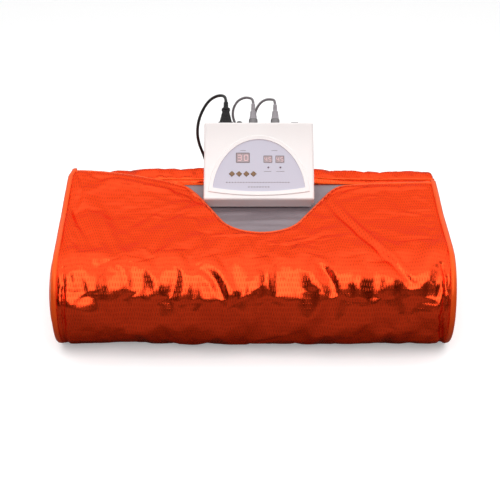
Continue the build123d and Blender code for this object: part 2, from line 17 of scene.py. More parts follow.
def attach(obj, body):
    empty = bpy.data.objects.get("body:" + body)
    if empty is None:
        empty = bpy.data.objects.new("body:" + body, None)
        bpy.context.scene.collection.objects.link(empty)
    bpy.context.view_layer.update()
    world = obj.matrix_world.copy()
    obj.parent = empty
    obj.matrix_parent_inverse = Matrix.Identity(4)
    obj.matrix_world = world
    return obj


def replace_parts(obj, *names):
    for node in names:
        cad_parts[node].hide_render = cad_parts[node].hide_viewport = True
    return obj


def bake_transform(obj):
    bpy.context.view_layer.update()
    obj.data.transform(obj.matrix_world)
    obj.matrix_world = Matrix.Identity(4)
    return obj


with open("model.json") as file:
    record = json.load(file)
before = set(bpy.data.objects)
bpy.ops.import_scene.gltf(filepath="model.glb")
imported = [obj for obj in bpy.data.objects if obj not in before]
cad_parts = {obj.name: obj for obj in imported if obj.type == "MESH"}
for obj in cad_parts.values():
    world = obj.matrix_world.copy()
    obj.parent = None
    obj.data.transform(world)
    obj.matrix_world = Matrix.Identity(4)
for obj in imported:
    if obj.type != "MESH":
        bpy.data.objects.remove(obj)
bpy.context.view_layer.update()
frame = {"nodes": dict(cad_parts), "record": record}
nodes = frame["nodes"]
bpy.ops.object.select_all(action="DESELECT")

# %% [markdown]
# ## The camera
# The camera comes first, because the cords are laid with its view in mind. A long lens from a step
# back and above keeps the blanket's sides nearly parallel, as in a catalogue.

# %% Camera
bpy.ops.object.camera_add(location=(-0.005, -2.1816, 1.4112), rotation=(radians(60), 0, 0))
camera = bpy.context.object
camera.data.lens, camera.data.sensor_width = 86.4, 36
bpy.context.scene.camera = camera
bpy.context.scene.view_settings.view_transform = "Standard"
print("camera lens", camera.data.lens)

# %% [markdown]
# ## Where the controller's faces are
# The case leans back by 27 degrees. Details on its sloping face or its back wall are modelled flat at
# the origin, which is easy to reason about, and one matrix then lays them on the face.

# %% Frames on the controller
MM = 0.001
CASE_DEPTH, CASE_TOP_DEPTH, CASE_FRONT, CASE_BACK = 0.186, 0.172, 0.032, 0.079
SOCKET_DOWN = 0.016
CASE_FRONT_EDGE, CASE_TILT = (0.014, 0.0826, 0.1803), radians(27)
case_place = Matrix.Translation(CASE_FRONT_EDGE) @ Matrix.Rotation(CASE_TILT, 4, "X")
face_slope = atan2(CASE_BACK - CASE_FRONT, CASE_TOP_DEPTH)
back_lean = atan2(CASE_DEPTH - CASE_TOP_DEPTH, CASE_BACK)


def on_face(x, up, out=0.0):
    """The matrix of a place on the sloping face: X across, Y up the face, Z out of it."""
    tilt = Matrix.Rotation(face_slope, 4, "X")
    return case_place @ Matrix.Translation((0, 0, CASE_FRONT)) @ tilt @ Matrix.Translation((x, up, out))


def on_back(x, out=0.0):
    """The matrix of a place on the back wall at socket height, with Z along a plug's way out."""
    up = hypot(CASE_DEPTH - CASE_TOP_DEPTH, CASE_BACK) - SOCKET_DOWN
    wall = Matrix.Translation((x, CASE_DEPTH - up * sin(back_lean), up * cos(back_lean)))
    return case_place @ wall @ Matrix.Rotation(back_lean - pi / 2, 4, "X") @ Matrix.Translation((0, 0, out))


MAINS_X, UPPER_X, LOWER_X = -0.072, -0.012, 0.036
MAINS_TIP, UPPER_TIP, LOWER_TIP = 0.057, 0.053, 0.051
way_out = (on_back(0, 1).translation - on_back(0, 0).translation).normalized()
print("plugs leave along", [round(v, 3) for v in way_out])

# %% [markdown]
# ## The cords
# A lead is a fixed length of something flexible. Each one here is a NURBS line through the points of
# its route: straight out of its strain relief, over in a loop, and down behind the blanket. The mains
# lead is longer than what shows, so the rest is wound into a coil on the floor behind; its tie is not
# made here. A tube is made round each line as a mesh. On the real blanket the part of a lead near the
# controller follows it when it is lifted and the rest stays with the blanket; these tubes don't.

# %% Helpers for leads
def nurbs_line(name, points):
    """A curve object with one smooth open spline through the middle of a lead."""
    curve = bpy.data.curves.new(name, "CURVE")
    curve.dimensions, curve.resolution_u = "3D", 5
    spline = curve.splines.new("NURBS")
    spline.points.add(len(points) - 1)
    for knot, place in zip(spline.points, points):
        knot.co = (*place, 1)
    spline.order_u = 3
    spline.use_endpoint_u = True
    line = bpy.data.objects.new(name + "_line", curve)
    bpy.context.collection.objects.link(line)
    return line


def lead_tube(name, points, diameter):
    """A mesh tube round a NURBS line, and the points that it follows."""
    line = nurbs_line(name, points)
    followed = bpy.data.meshes.new_from_object(line)
    path = [v.co.copy() for v in followed.vertices]
    line.data.bevel_depth, line.data.bevel_resolution, line.data.use_fill_caps = diameter / 2, 4, True
    tube = bpy.data.objects.new(name, bpy.data.meshes.new_from_object(line))
    bpy.context.collection.objects.link(tube)
    tube.data.polygons.foreach_set("use_smooth", [True] * len(tube.data.polygons))
    bpy.data.objects.remove(line)
    length = sum((b - a).length for a, b in zip(path, path[1:]))
    print(name, "is", round(length, 3), "m long")
    return tube, path, length


def in_metres(*places):
    """Places in millimetres, as vectors in metres."""
    return [Vector(p) * MM for p in places]


# %% [markdown]
# The coil has three rings in each of two layers. The lead comes in on the outer ring of the top layer,
# steps inwards just before each full turn, drops to the bottom layer and steps outwards again.

# %% Points of the coil
COIL_X, COIL_Y, COIL_FLOOR, COIL_TURN = -94, 372.5, 1.5, 42.5
MAINS_LEAD, ZONE_LEAD = 6.5, 5.5
TURNS, STEPS_PER_TURN, FIRST_ANGLE = 5.352, 20, 216.87
SHIFT_TURNS, DROP_TURNS = 0.15, 0.25


def eased(t):
    """A soft step from 0 to 1."""
    t = min(max(t, 0.0), 1.0)
    return t * t * (3 - 2 * t)


def coil_points():
    """The turns of the coil, with 20 points to each, in millimetres."""
    points = []
    count = round(TURNS * STEPS_PER_TURN)
    for n in range(count + 1):
        a = TURNS * n / count
        ring = sum(eased((a - start) / SHIFT_TURNS) for start in (0.85, 1.85))
        ring -= sum(eased((a - start) / SHIFT_TURNS) for start in (3.35, 4.35))
        drop = eased((a - 2.45) / DROP_TURNS)
        radius, angle = COIL_TURN + 0.4 - MAINS_LEAD * ring, radians(FIRST_ANGLE - 360 * a)
        points.append((COIL_X + radius * cos(angle), COIL_Y + radius * sin(angle),
                       COIL_FLOOR + MAINS_LEAD * (1.5 - drop)))
    return points


print(len(coil_points()), "points in the coil")

# %% Mains lead, from the controller through the coil to the wall plug
PLUG_X, PLUG_Y, PLUG_Z = -19, 412.5, 18.5
mains_tip = on_back(MAINS_X, MAINS_TIP).translation
mains_points = [mains_tip, mains_tip + way_out * 0.012] + in_metres(
    (-67, 276, 358.5), (-82, 282, 353), (-97, 284.5, 341), (-110, 281, 322), (-120, 277, 298),
    (-124, 273, 269), (-120, 271, 241), (-108, 273, 208), (-99, 278, 166), (-97, 285, 120), (-99, 294, 79),
    (-103, 306, 46), (-109, 318, 24), (-115, 330, 13.2), *coil_points(), (-80, 415, 4.75), (-66, 414.6, 7),
    (-53, 413.4, 12), (-41, 412.6, 17), (-30, PLUG_Y, PLUG_Z), (PLUG_X, PLUG_Y, PLUG_Z))
mains_lead, mains_path, mains_length = lead_tube("mains_lead_whole", mains_points, MAINS_LEAD * MM)

# %% Zone leads, from their plugs down and up into the blanket's foot end
upper_tip = on_back(UPPER_X, UPPER_TIP).translation
upper_points = [upper_tip, upper_tip + way_out * 0.011] + in_metres(
    (-7, 270, 355), (-19, 276, 352.5), (-33, 278, 343.5), (-42, 275.5, 328), (-44, 272, 310), (-38, 269, 292),
    (-31, 267.5, 268), (-27, 266.5, 232), (-28, 267.5, 186), (-30, 269, 140), (-31, 269, 99), (-33, 268, 66),
    (-38, 266, 42), (-47, 264, 26), (-60, 262, 19), (-73, 261, 24), (-84, 260, 38), (-90, 260, 57),
    (-91, 261, 79), (-91, 262, 98), (-91, 261, 113), (-91, 258, 126), (-91, 250, 136.5), (-91, 240, 142),
    (-91, 230, 142))
upper_lead, upper_path, upper_length = lead_tube("upper_lead_whole", upper_points, ZONE_LEAD * MM)
lower_tip = on_back(LOWER_X, LOWER_TIP).translation
lower_points = [lower_tip, lower_tip + way_out * 0.011] + in_metres(
    (42, 268, 352), (30, 274, 349), (18, 276, 340.5), (8, 273.5, 325), (5, 270, 307), (8, 267.5, 286),
    (14, 267, 257), (17.5, 268, 222), (20, 270, 178), (21, 271, 132), (22, 271, 93), (24, 270, 63),
    (29, 268, 40), (39, 265, 25), (53, 263, 19), (66, 261, 24), (77, 260, 38), (83, 261, 58),
    (86, 262, 79), (86, 262, 98), (86, 261, 113), (86, 258, 126), (86, 250, 136.5), (86, 240, 142),
    (86, 230, 142))
lower_lead, lower_path, lower_length = lead_tube("lower_lead_whole", lower_points, ZONE_LEAD * MM)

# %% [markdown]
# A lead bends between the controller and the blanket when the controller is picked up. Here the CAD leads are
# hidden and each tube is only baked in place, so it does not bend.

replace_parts(mains_lead, "mains_lead", "mains_lead_coil", "mains_lead_tail")
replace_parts(upper_lead, "upper_zone_lead")
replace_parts(lower_lead, "lower_zone_lead")


def bend_between(tube):
    """Bake the tube's place into its mesh."""
    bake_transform(tube)


bend_between(mains_lead)
bend_between(upper_lead)
bend_between(lower_lead)

# %% [markdown]
# ## Finishes
# Every finish is procedural. Three effects are used by many of them, held in two node groups with named
# sockets: the fine grain of moulded plastic with its slow mottling, and the dashes woven into the satin
# cloth.

# %% Helpers for materials
def plain_finish(name, **numbers):
    """A Principled material. The numbers go on its own sockets, with _ written for a space."""
    made = bpy.data.materials.new(name)
    made.use_nodes = True
    shader = made.node_tree.nodes["Principled BSDF"]
    for label, value in numbers.items():
        shader.inputs[label.replace("_", " ")].default_value = value
    return made


def add_node(tree, kind, values=(), **settings):
    """A node with its settings and the values of its unlinked sockets."""
    made = tree.nodes.new(kind)
    for label, value in settings.items():
        setattr(made, label, value)
    for label, value in dict(values).items():
        made.inputs[label].default_value = value
    return made


def new_group(name, inputs, outputs):
    """An empty shader node group with these sockets, with its two end nodes."""
    group = bpy.data.node_groups.new(name, "ShaderNodeTree")
    for label, kind in inputs:
        group.interface.new_socket(label, in_out="INPUT", socket_type="NodeSocket" + kind)
    for label in outputs:
        group.interface.new_socket(label, in_out="OUTPUT", socket_type="NodeSocketFloat")
    return group, group.nodes.new("NodeGroupInput"), group.nodes.new("NodeGroupOutput")


def placed_group(made, group, **values):
    """The group as a node in a material, with the values that this material gives it."""
    box = made.node_tree.nodes.new("ShaderNodeGroup")
    box.node_tree = group
    for label, value in values.items():
        box.inputs[label.replace("_", " ")].default_value = value
    return box


def math_node(tree, operation, first, second=None):
    """A Math node. Each of its two inputs is a socket to link or a number."""
    made = tree.nodes.new("ShaderNodeMath")
    made.operation = operation
    for slot, value in enumerate((first, second)):
        if hasattr(value, "links"):
            tree.links.new(value, made.inputs[slot])
        elif value is not None:
            made.inputs[slot].default_value = value
    return made.outputs[0]


# %% Group: grain of a moulded or coated surface
grain_sockets = [("Vector", "Vector"), ("Fine", "Float"), ("Broad", "Float")]
grain, grain_in, grain_out = new_group("moulded_grain", grain_sockets, ["Height", "Mottle", "Scuff"])
fine = add_node(grain, "ShaderNodeTexNoise", {"Detail": 3.0, "Roughness": 0.6})
broad = add_node(grain, "ShaderNodeTexNoise", {"Detail": 2.0})
scuff = add_node(grain, "ShaderNodeTexNoise", {"Detail": 6.0, "Roughness": 0.7, "Distortion": 0.4})
scuff_ramp = add_node(grain, "ShaderNodeMapRange", {"From Min": 0.55, "From Max": 0.75})
for texture, scale in ((fine, "Fine"), (broad, "Broad"), (scuff, "Broad")):
    grain.links.new(grain_in.outputs["Vector"], texture.inputs["Vector"])
    grain.links.new(grain_in.outputs[scale], texture.inputs["Scale"])
grain.links.new(scuff.outputs["Fac"], scuff_ramp.inputs["Value"])
grain.links.new(fine.outputs["Fac"], grain_out.inputs["Height"])
grain.links.new(broad.outputs["Fac"], grain_out.inputs["Mottle"])
grain.links.new(scuff_ramp.outputs[0], grain_out.inputs["Scuff"])

# %% [markdown]
# The satin has short dashes woven into it, in rows that are staggered by half a step. The pattern is
# counted on the cloth's UV map, which is in metres, so it follows every fold at its real size.

# %% Group: woven dashes and threads
weave_sockets = [("Vector", "Vector"), ("Step", "Float"), ("Row", "Float")]
weave, weave_in, weave_out = new_group("satin_weave", weave_sockets, ["Height", "Dash", "Thread"])
cloth_xy = weave.nodes.new("ShaderNodeSeparateXYZ")
weave.links.new(weave_in.outputs["Vector"], cloth_xy.inputs[0])
row_place = math_node(weave, "DIVIDE", cloth_xy.outputs["Y"], weave_in.outputs["Row"])
row_shift = math_node(weave, "MULTIPLY", math_node(weave, "FLOOR", row_place), 0.5)
in_row = math_node(weave, "DIVIDE", cloth_xy.outputs["X"], weave_in.outputs["Step"])
step_place = math_node(weave, "ADD", in_row, row_shift)


def near_middle(place, full, none):
    """1 within `full` of the middle of each step, 0 beyond `none`, for a dash's width or length."""
    off = math_node(weave, "ABSOLUTE", math_node(weave, "SUBTRACT", math_node(weave, "FRACT", place), 0.5))
    ramp = add_node(weave, "ShaderNodeMapRange",
                    {"From Min": full, "From Max": none, "To Min": 1.0, "To Max": 0.0})
    weave.links.new(off, ramp.inputs["Value"])
    return ramp.outputs[0]


dash = math_node(weave, "MULTIPLY", near_middle(step_place, 0.10, 0.20), near_middle(row_place, 0.24, 0.34))
stretch = add_node(weave, "ShaderNodeVectorMath", {1: (1400.0, 60.0, 1.0)}, operation="MULTIPLY")
threads = add_node(weave, "ShaderNodeTexNoise", {"Scale": 1.0, "Detail": 2.0})
weave.links.new(weave_in.outputs["Vector"], stretch.inputs[0])
weave.links.new(stretch.outputs[0], threads.inputs["Vector"])
height = math_node(weave, "SUBTRACT", math_node(weave, "MULTIPLY", threads.outputs["Fac"], 0.18), dash)
weave.links.new(height, weave_out.inputs["Height"])
weave.links.new(dash, weave_out.inputs["Dash"])
weave.links.new(threads.outputs["Fac"], weave_out.inputs["Thread"])
print("groups:", [g.name for g in bpy.data.node_groups])


# %% Put the groups into materials
def mixed_colour(tree, factor, first, second):
    """A colour between two, by a factor that changes over the surface."""
    mix = tree.nodes.new("ShaderNodeMix")
    mix.data_type = "RGBA"
    mix.inputs[6].default_value, mix.inputs[7].default_value = (*first, 1), (*second, 1)
    tree.links.new(factor, mix.inputs[0])
    return mix.outputs[2]


def ranged(tree, factor, low, high):
    """A noise's middle values, spread from low to high."""
    ramp = add_node(tree, "ShaderNodeMapRange",
                    {"From Min": 0.3, "From Max": 0.7, "To Min": low, "To Max": high})
    tree.links.new(factor, ramp.inputs["Value"])
    return ramp.outputs[0]


def relief_into(made, height, depth):
    """Height, as a bump this many metres deep, into the material's normal."""
    tree = made.node_tree
    bump = add_node(tree, "ShaderNodeBump", {"Strength": 1.0, "Distance": depth})
    tree.links.new(height, bump.inputs["Height"])
    tree.links.new(bump.outputs[0], tree.nodes["Principled BSDF"].inputs["Normal"])


def moulded(name, light, dark, rough, fine=2500.0, broad=14.0, depth=0.00006, **numbers):
    """Plastic, rubber, resin or metal: a grain, a slow change of tone, and scuffs that dull it."""
    made = plain_finish(name, **numbers)
    tree = made.node_tree
    shader = tree.nodes["Principled BSDF"]
    place = tree.nodes.new("ShaderNodeTexCoord")
    box = placed_group(made, grain, Fine=fine, Broad=broad)
    tree.links.new(place.outputs["Object"], box.inputs["Vector"])
    tree.links.new(mixed_colour(tree, box.outputs["Mottle"], dark, light), shader.inputs["Base Color"])
    duller = math_node(tree, "MULTIPLY_ADD", box.outputs["Scuff"], 0.12)
    duller.node.inputs[2].default_value = rough
    tree.links.new(duller, shader.inputs["Roughness"])
    relief_into(made, box.outputs["Height"], depth)
    return made


def woven(name, light, dark, rough, step=0.0052, row=0.0100, depth=0.00035, dash_dark=0.5, **numbers):
    """Cloth with dashes: the UV map in metres carries the weave."""
    made = plain_finish(name, **numbers)
    tree = made.node_tree
    shader = tree.nodes["Principled BSDF"]
    place = tree.nodes.new("ShaderNodeTexCoord")
    cloth = placed_group(made, weave, Step=step, Row=row)
    tone = placed_group(made, grain, Fine=900.0, Broad=9.0)
    tree.links.new(place.outputs["UV"], cloth.inputs["Vector"])
    tree.links.new(place.outputs["Object"], tone.inputs["Vector"])
    base = mixed_colour(tree, tone.outputs["Mottle"], dark, light)
    darker = tree.nodes.new("ShaderNodeMix")
    darker.data_type = "RGBA"
    darker.inputs[7].default_value = (*[c * (1 - dash_dark) for c in dark], 1)
    tree.links.new(cloth.outputs["Dash"], darker.inputs[0])
    tree.links.new(base, darker.inputs[6])
    tree.links.new(darker.outputs[2], shader.inputs["Base Color"])
    tree.links.new(ranged(tree, cloth.outputs["Thread"], rough, rough + 0.08), shader.inputs["Roughness"])
    relief_into(made, cloth.outputs["Height"], depth)
    return made


# %% All finishes
WOVEN = {  # light and dark colour, roughness, then values that differ from the satin's
    "orange_satin": (((0.93, 0.068, 0.015), (0.85, 0.055, 0.012), 0.23), {"depth": 0.00018,
                      "dash_dark": 0.24, "Metallic": 0.86, "Specular_IOR_Level": 0.45,
                      "Specular_Tint": (1.0, 0.42, 0.26, 1.0)}),
    "orange_binding": (((0.97, 0.105, 0.012), (0.90, 0.085, 0.010), 0.30), {"step": 0.0012, "row": 0.0012,
                        "depth": 0.0001, "dash_dark": 0.3, "Metallic": 0.3,
                        "Specular_Tint": (1.0, 0.5, 0.25, 1.0)}),
    # Painted light: the silver lining's colour is darker and pinker than its own silver. It stands in for the
    # shade it lies in and for red bounce light from the orange satin.
    "silver_lining": (((0.28, 0.228, 0.250), (0.235, 0.192, 0.210), 0.36), {"step": 0.0016, "row": 0.0016,
                       "depth": 0.00008, "dash_dark": 0.15, "Metallic": 0.35}),
}
MOULDED = {  # light and dark colour, roughness, then fine grain, broad grain and depth where they matter
    "carrier_felt": ((0.80, 0.78, 0.72), (0.66, 0.64, 0.58), 0.9, 1800.0, 60.0, 0.0004),
    "closure_tape": ((0.025, 0.025, 0.027), (0.012, 0.012, 0.013), 0.85, 2600.0, 90.0, 0.0005),
    "heating_cable": ((0.50, 0.09, 0.05), (0.42, 0.07, 0.04), 0.5),
    "sensor_resin": ((0.08, 0.08, 0.08), (0.05, 0.05, 0.05), 0.3),
    "cutout_case": ((0.85, 0.82, 0.72), (0.78, 0.75, 0.66), 0.45),
    # Painted light: the case's plastic is white, and the warm pink tint of case_white stands in for orange
    # bounce light from the satin.
    "case_white": ((0.87, 0.825, 0.812), (0.835, 0.785, 0.775), 0.16, 1600.0, 9.0, 0.00002),
    "membrane_grey": ((0.585, 0.562, 0.655), (0.555, 0.532, 0.625), 0.40, 3200.0, 10.0, 0.00003),
    "display_window": ((0.33, 0.235, 0.25), (0.28, 0.20, 0.21), 0.14, 900.0, 30.0, 0.000005),
    "key_gold": ((0.21, 0.115, 0.055), (0.15, 0.080, 0.038), 0.36, 2600.0, 120.0, 0.00004),
    "led_lens": ((0.20, 0.14, 0.18), (0.13, 0.09, 0.12), 0.08, 900.0, 60.0, 0.000005),
    "circuit_board": ((0.03, 0.22, 0.07), (0.02, 0.16, 0.05), 0.35, 900.0, 90.0, 0.00005),
    "switch_steel": ((0.60, 0.60, 0.60), (0.52, 0.52, 0.53), 0.3, 3000.0, 80.0),
    "transformer_steel": ((0.33, 0.30, 0.27), (0.22, 0.19, 0.17), 0.42, 1200.0, 60.0, 0.0002),
    "relay_blue": ((0.03, 0.11, 0.42), (0.02, 0.08, 0.34), 0.25),
    "black_plastic": ((0.014, 0.012, 0.013), (0.009, 0.008, 0.009), 0.44, 2400.0, 40.0, 0.00008),
    "black_pvc": ((0.010, 0.010, 0.011), (0.006, 0.006, 0.007), 0.36, 1500.0, 30.0, 0.0001),
    "grey_plastic": ((0.36, 0.33, 0.35), (0.29, 0.265, 0.285), 0.38, 2400.0, 40.0, 0.00008),
    "grey_pvc": ((0.175, 0.155, 0.165), (0.140, 0.125, 0.133), 0.38, 1500.0, 30.0, 0.0001),
    "nickel": ((0.25, 0.235, 0.24), (0.20, 0.19, 0.195), 0.48, 3500.0, 60.0, 0.00004),
    "pin_brass": ((0.78, 0.60, 0.28), (0.66, 0.48, 0.21), 0.25, 3500.0, 60.0, 0.00003),
    "fuse_glass": ((0.90, 0.94, 0.94), (0.86, 0.91, 0.91), 0.03, 900.0, 30.0, 0.000002),
    "screw_steel": ((0.60, 0.60, 0.62), (0.48, 0.48, 0.50), 0.3, 3500.0, 60.0, 0.00005),
    "foot_rubber": ((0.045, 0.045, 0.045), (0.03, 0.03, 0.03), 0.7, 2600.0, 60.0, 0.0002),
    "printed_ink": ((0.17, 0.125, 0.135), (0.14, 0.105, 0.112), 0.5, 2600.0, 60.0, 0.00001),
    "lit_segment": ((0.72, 0.44, 0.46), (0.66, 0.40, 0.42), 0.3, 900.0, 60.0, 0.000005),
    "rocker_red": ((0.55, 0.020, 0.015), (0.47, 0.015, 0.012), 0.2, 1600.0, 40.0, 0.00002),
}
OTHER_VALUES = {  # what else a finish sets on its shader
    "closure_tape": {"Sheen_Weight": 0.4},
    "case_white": {"Coat_Weight": 0.25, "Coat_Roughness": 0.08},
    "display_window": {"Coat_Weight": 0.6, "Coat_Roughness": 0.03},
    "key_gold": {"Metallic": 0.35},
    "led_lens": {"Coat_Weight": 0.8},
    "switch_steel": {"Metallic": 1.0},
    "transformer_steel": {"Metallic": 0.8},
    "black_plastic": {"Specular_IOR_Level": 0.3},
    "nickel": {"Metallic": 1.0},
    "pin_brass": {"Metallic": 1.0},
    "fuse_glass": {"Transmission_Weight": 0.9, "IOR": 1.5},
    "screw_steel": {"Metallic": 1.0},
    "lit_segment": {"Emission_Color": (1.0, 0.55, 0.55, 1.0), "Emission_Strength": 0.12},
}
finishes = {name: woven(name, *colours, **values) for name, (colours, values) in WOVEN.items()}
for name, values in MOULDED.items():
    finishes[name] = moulded(name, *values, **OTHER_VALUES.get(name, {}))
print(len(finishes), "finishes")


def dress(piece, name):
    """Give a piece its finish."""
    if not piece.material_slots:
        piece.data.materials.append(None)
    for slot in piece.material_slots:
        slot.material = finishes[name]
    return piece


for part in frame["record"]["subparts"]:
    node = nodes[part["node"]]
    if not node.material_slots:
        node.data.materials.append(None)
    for slot in node.material_slots:
        slot.material = finishes[part["material_slot"]]
dress(mains_lead, "black_pvc")
dress(upper_lead, "grey_pvc")
dress(lower_lead, "grey_pvc")

# %% [markdown]
# ## How the blanket is folded
# Every ply of the bag follows one folded line: from the head end on top, round the front in a large
# roll, back along the floor, round the back fold, forward, round inside the front roll and back to the
# foot. A ply is at a distance d from the bag's middle, above 0 for the flap and below 0 for the base.

# %% The folded line
HEAD_Y, FRONT_Y, BACK_Y, FOOT_Y = 0.134, -0.131, 0.154, 0.188
MIDDLE, PITCH, HALF_WIDTH = 0.025, 0.052, 0.400
FOOT_Z = MIDDLE + 2 * PITCH
BAG_TOP = MIDDLE + 3 * PITCH
OUTER_FOLD, INNER_FOLD = (BAG_TOP - MIDDLE) / 2, PITCH / 2
FRONT_Z, BACK_Z = MIDDLE + OUTER_FOLD, MIDDLE + INNER_FOLD
FLAP_OUT, SHELL_IN, LOWEST = 0.025, 0.0065, 0.0002


def fold_point(panel, t, d, head):
    """Part t of the way along a panel, at distance d: y, z and the way that d grows."""
    turn_y, turn_z = sin(pi * t), cos(pi * t)
    if panel == 0:
        return head + (FRONT_Y - head) * t, BAG_TOP + d, 0, 1
    if panel == 1:
        radius = OUTER_FOLD + d
        return FRONT_Y - radius * turn_y, FRONT_Z + radius * turn_z, -turn_y, turn_z
    if panel == 2:
        return FRONT_Y + (BACK_Y - FRONT_Y) * t, MIDDLE - d, 0, -1
    if panel == 3:
        radius = INNER_FOLD + d
        return BACK_Y + radius * turn_y, BACK_Z - radius * turn_z, turn_y, -turn_z
    if panel == 4:
        return BACK_Y + (FRONT_Y - BACK_Y) * t, MIDDLE + PITCH + d, 0, 1
    if panel == 5:
        radius = INNER_FOLD - d
        return FRONT_Y - radius * turn_y, FRONT_Z - radius * turn_z, turn_y, turn_z
    return FRONT_Y + (FOOT_Y - FRONT_Y) * t, FOOT_Z - d, 0, -1


def fold_rows(d, counts, head=HEAD_Y):
    """Rows down the whole bag, with this many steps in each panel: panel, t, y, z, ny, nz, run."""
    rows = [(panel, t, *fold_point(panel, t, d, head))
            for panel, count in enumerate(counts) for t in np.arange(count) / count]
    rows = np.array(rows + [(6, 1, *fold_point(6, 1, d, head))])
    run = np.concatenate([[0], np.cumsum(np.hypot(np.diff(rows[:, 2]), np.diff(rows[:, 3])))])
    return np.column_stack([rows, run + HEAD_Y - head])


def smooth(t):
    """The same soft step, for arrays."""
    t = np.clip(t, 0, 1)
    return t * t * (3 - 2 * t)


# %% [markdown]
# The flap's head edge isn't straight: a round neck cut-out with flaring sides is bound into it. The
# left corner of the flap rides up on the head roll. Both are functions of the place across the blanket,
# so the cloth, its binding and its stitches all agree.

# %% Head edge and lifted corner
NECK_X, NECK_Y, NECK_RADIUS, NECK_FLARE = 0.018, 0.030, 0.094, radians(25)


def head_edge(x):
    """How far back the flap reaches at x: round at the neck, flaring, then straight."""
    across = np.abs(x - NECK_X)
    side, low = NECK_RADIUS * cos(NECK_FLARE), NECK_Y - NECK_RADIUS * sin(NECK_FLARE)
    arc = NECK_Y - np.sqrt(np.maximum(NECK_RADIUS**2 - across**2, 0))
    flare = tan(NECK_FLARE) * np.where(x > NECK_X, 1.15, 1.0)
    edge = np.where(across < side, arc, low + (across - side) / flare)
    soft = 0.018
    return np.minimum(-soft * np.log(np.exp(-np.minimum(edge, 0.4) / soft) + np.exp(-HEAD_Y / soft)), HEAD_Y)


def carried_by_roll(places):
    """Move places (x, y, z) of the flap's top panel: the left rear corner is tucked in, back and up."""
    x, y = places[..., 0], places[..., 1]
    share = 1 - (1 - np.clip((-x - 0.13) / 0.25, 0, 1)) ** 1.7
    right = smooth((x - 0.06) / 0.32)
    back, up = smooth((y - 0.03) / 0.104), smooth(y / 0.134)
    places[..., 0] += 0.005 * smooth((-x - 0.33) / 0.06) * smooth((y - 0.112) / 0.022)
    places[..., 1] += (0.028 * share + 0.004 * right) * back
    places[..., 2] += (0.026 * share + 0.010 * right) * up


def drawn_in(x, s):
    """The flap's width where its cloth is pulled round the front roll, a little less than flat."""
    left = smooth((s - 0.10) / 0.20) * smooth((0.66 - s) / 0.14)
    right = smooth((s - 0.24) / 0.14) * smooth((0.66 - s) / 0.14)
    return x * (1 - np.where(x < 0, 0.017 * left, 0.008 * right))


def field(x, s, wide, long, seed):
    """Soft noise over the cloth, about `wide` by `long` metres from one swelling to the next."""
    flat = [noise.noise((a / wide + 7.3 * seed, b / long, seed)) for a, b in zip(x.ravel(), s.ravel())]
    return np.array(flat).reshape(x.shape)


print("neck reaches", round(float(head_edge(np.array([NECK_X]))[0]), 3))

# %% [markdown]
# Wrinkles come from three causes. The wadding swells between seams, the cloth ripples where it turns
# over the front roll, and pulls at the corners leave long creases. The creases are laid one by one as
# lines across the cloth, each a ridge or a step, and the noise fills in what lies between them.

# %% Creases laid one by one: places are across the blanket and down from the head edge
def crease(x, s, line, width, height, step=False):
    """How far a crease along a line of places lifts the cloth: a ridge, or a step up to its right."""
    nearest, signed, along = np.full(x.shape, 9.0), np.zeros(x.shape), np.zeros(x.shape)
    run = 0.0
    for (ax, ay), (bx, by) in zip(line, line[1:]):
        dx, dy = bx - ax, by - ay
        length = hypot(dx, dy)
        t = np.clip(((x - ax) * dx + (s - ay) * dy) / length**2, 0, 1)
        off = np.hypot(x - ax - t * dx, s - ay - t * dy)
        closer = off < nearest
        side = np.sign((x - ax) * dy - (s - ay) * dx)
        nearest, signed = np.where(closer, off, nearest), np.where(closer, off * side, signed)
        along = np.where(closer, run + t * length, along)
        run += length
    taper = np.sqrt(np.sin(pi * np.clip(along / run, 0.0, 1.0)))
    bell = np.exp(-(nearest / width) ** 2)
    return height * taper * (signed / width * 1.65 * np.exp(-(nearest / width) ** 2) if step else bell)


RIDGES = [  # line, width, height
    (((-0.392, 0.00), (-0.342, 0.113), (-0.293, 0.307)), 0.016, 0.0045),
    (((-0.378, 0.00), (-0.322, 0.113), (-0.250, 0.330)), 0.014, 0.0035),
    (((-0.386, 0.05), (-0.372, 0.20), (-0.350, 0.36)), 0.010, 0.0030),
    (((-0.09, 0.214), (-0.045, 0.218), (0.010, 0.214)), 0.0045, 0.0020),
    (((-0.209, 0.130), (-0.189, 0.139)), 0.006, 0.0018),
    (((-0.220, 0.262), (-0.200, 0.290)), 0.006, 0.0020),
    (((0.307, 0.118), (0.352, 0.126)), 0.005, 0.0015),
    (((-0.33, 0.030), (-0.26, 0.034), (-0.17, 0.040)), 0.007, 0.0020),
    (((0.205, 0.030), (0.29, 0.024), (0.38, 0.022)), 0.006, 0.0016),
    (((0.130, 0.285), (0.120, 0.330), (0.118, 0.365)), 0.014, 0.0045),
    (((0.195, 0.290), (0.205, 0.340), (0.200, 0.385)), 0.018, 0.0045),
    (((-0.155, 0.270), (-0.135, 0.330), (-0.128, 0.390)), 0.014, 0.0050),
    (((-0.215, 0.300), (-0.195, 0.345), (-0.180, 0.385)), 0.013, 0.0045),
    (((-0.085, 0.290), (-0.060, 0.335), (-0.034, 0.390)), 0.013, 0.0050),
    (((0.020, 0.290), (0.030, 0.340), (0.034, 0.385)), 0.013, 0.0040),
    (((0.255, 0.300), (0.262, 0.345), (0.257, 0.380)), 0.015, 0.0035),
    (((0.345, 0.230), (0.350, 0.310), (0.336, 0.385)), 0.016, 0.0040),
    (((-0.345, 0.280), (-0.330, 0.330), (-0.319, 0.372)), 0.012, 0.0035),
    (((-0.270, 0.300), (-0.252, 0.340), (-0.242, 0.375)), 0.012, 0.0040),
]
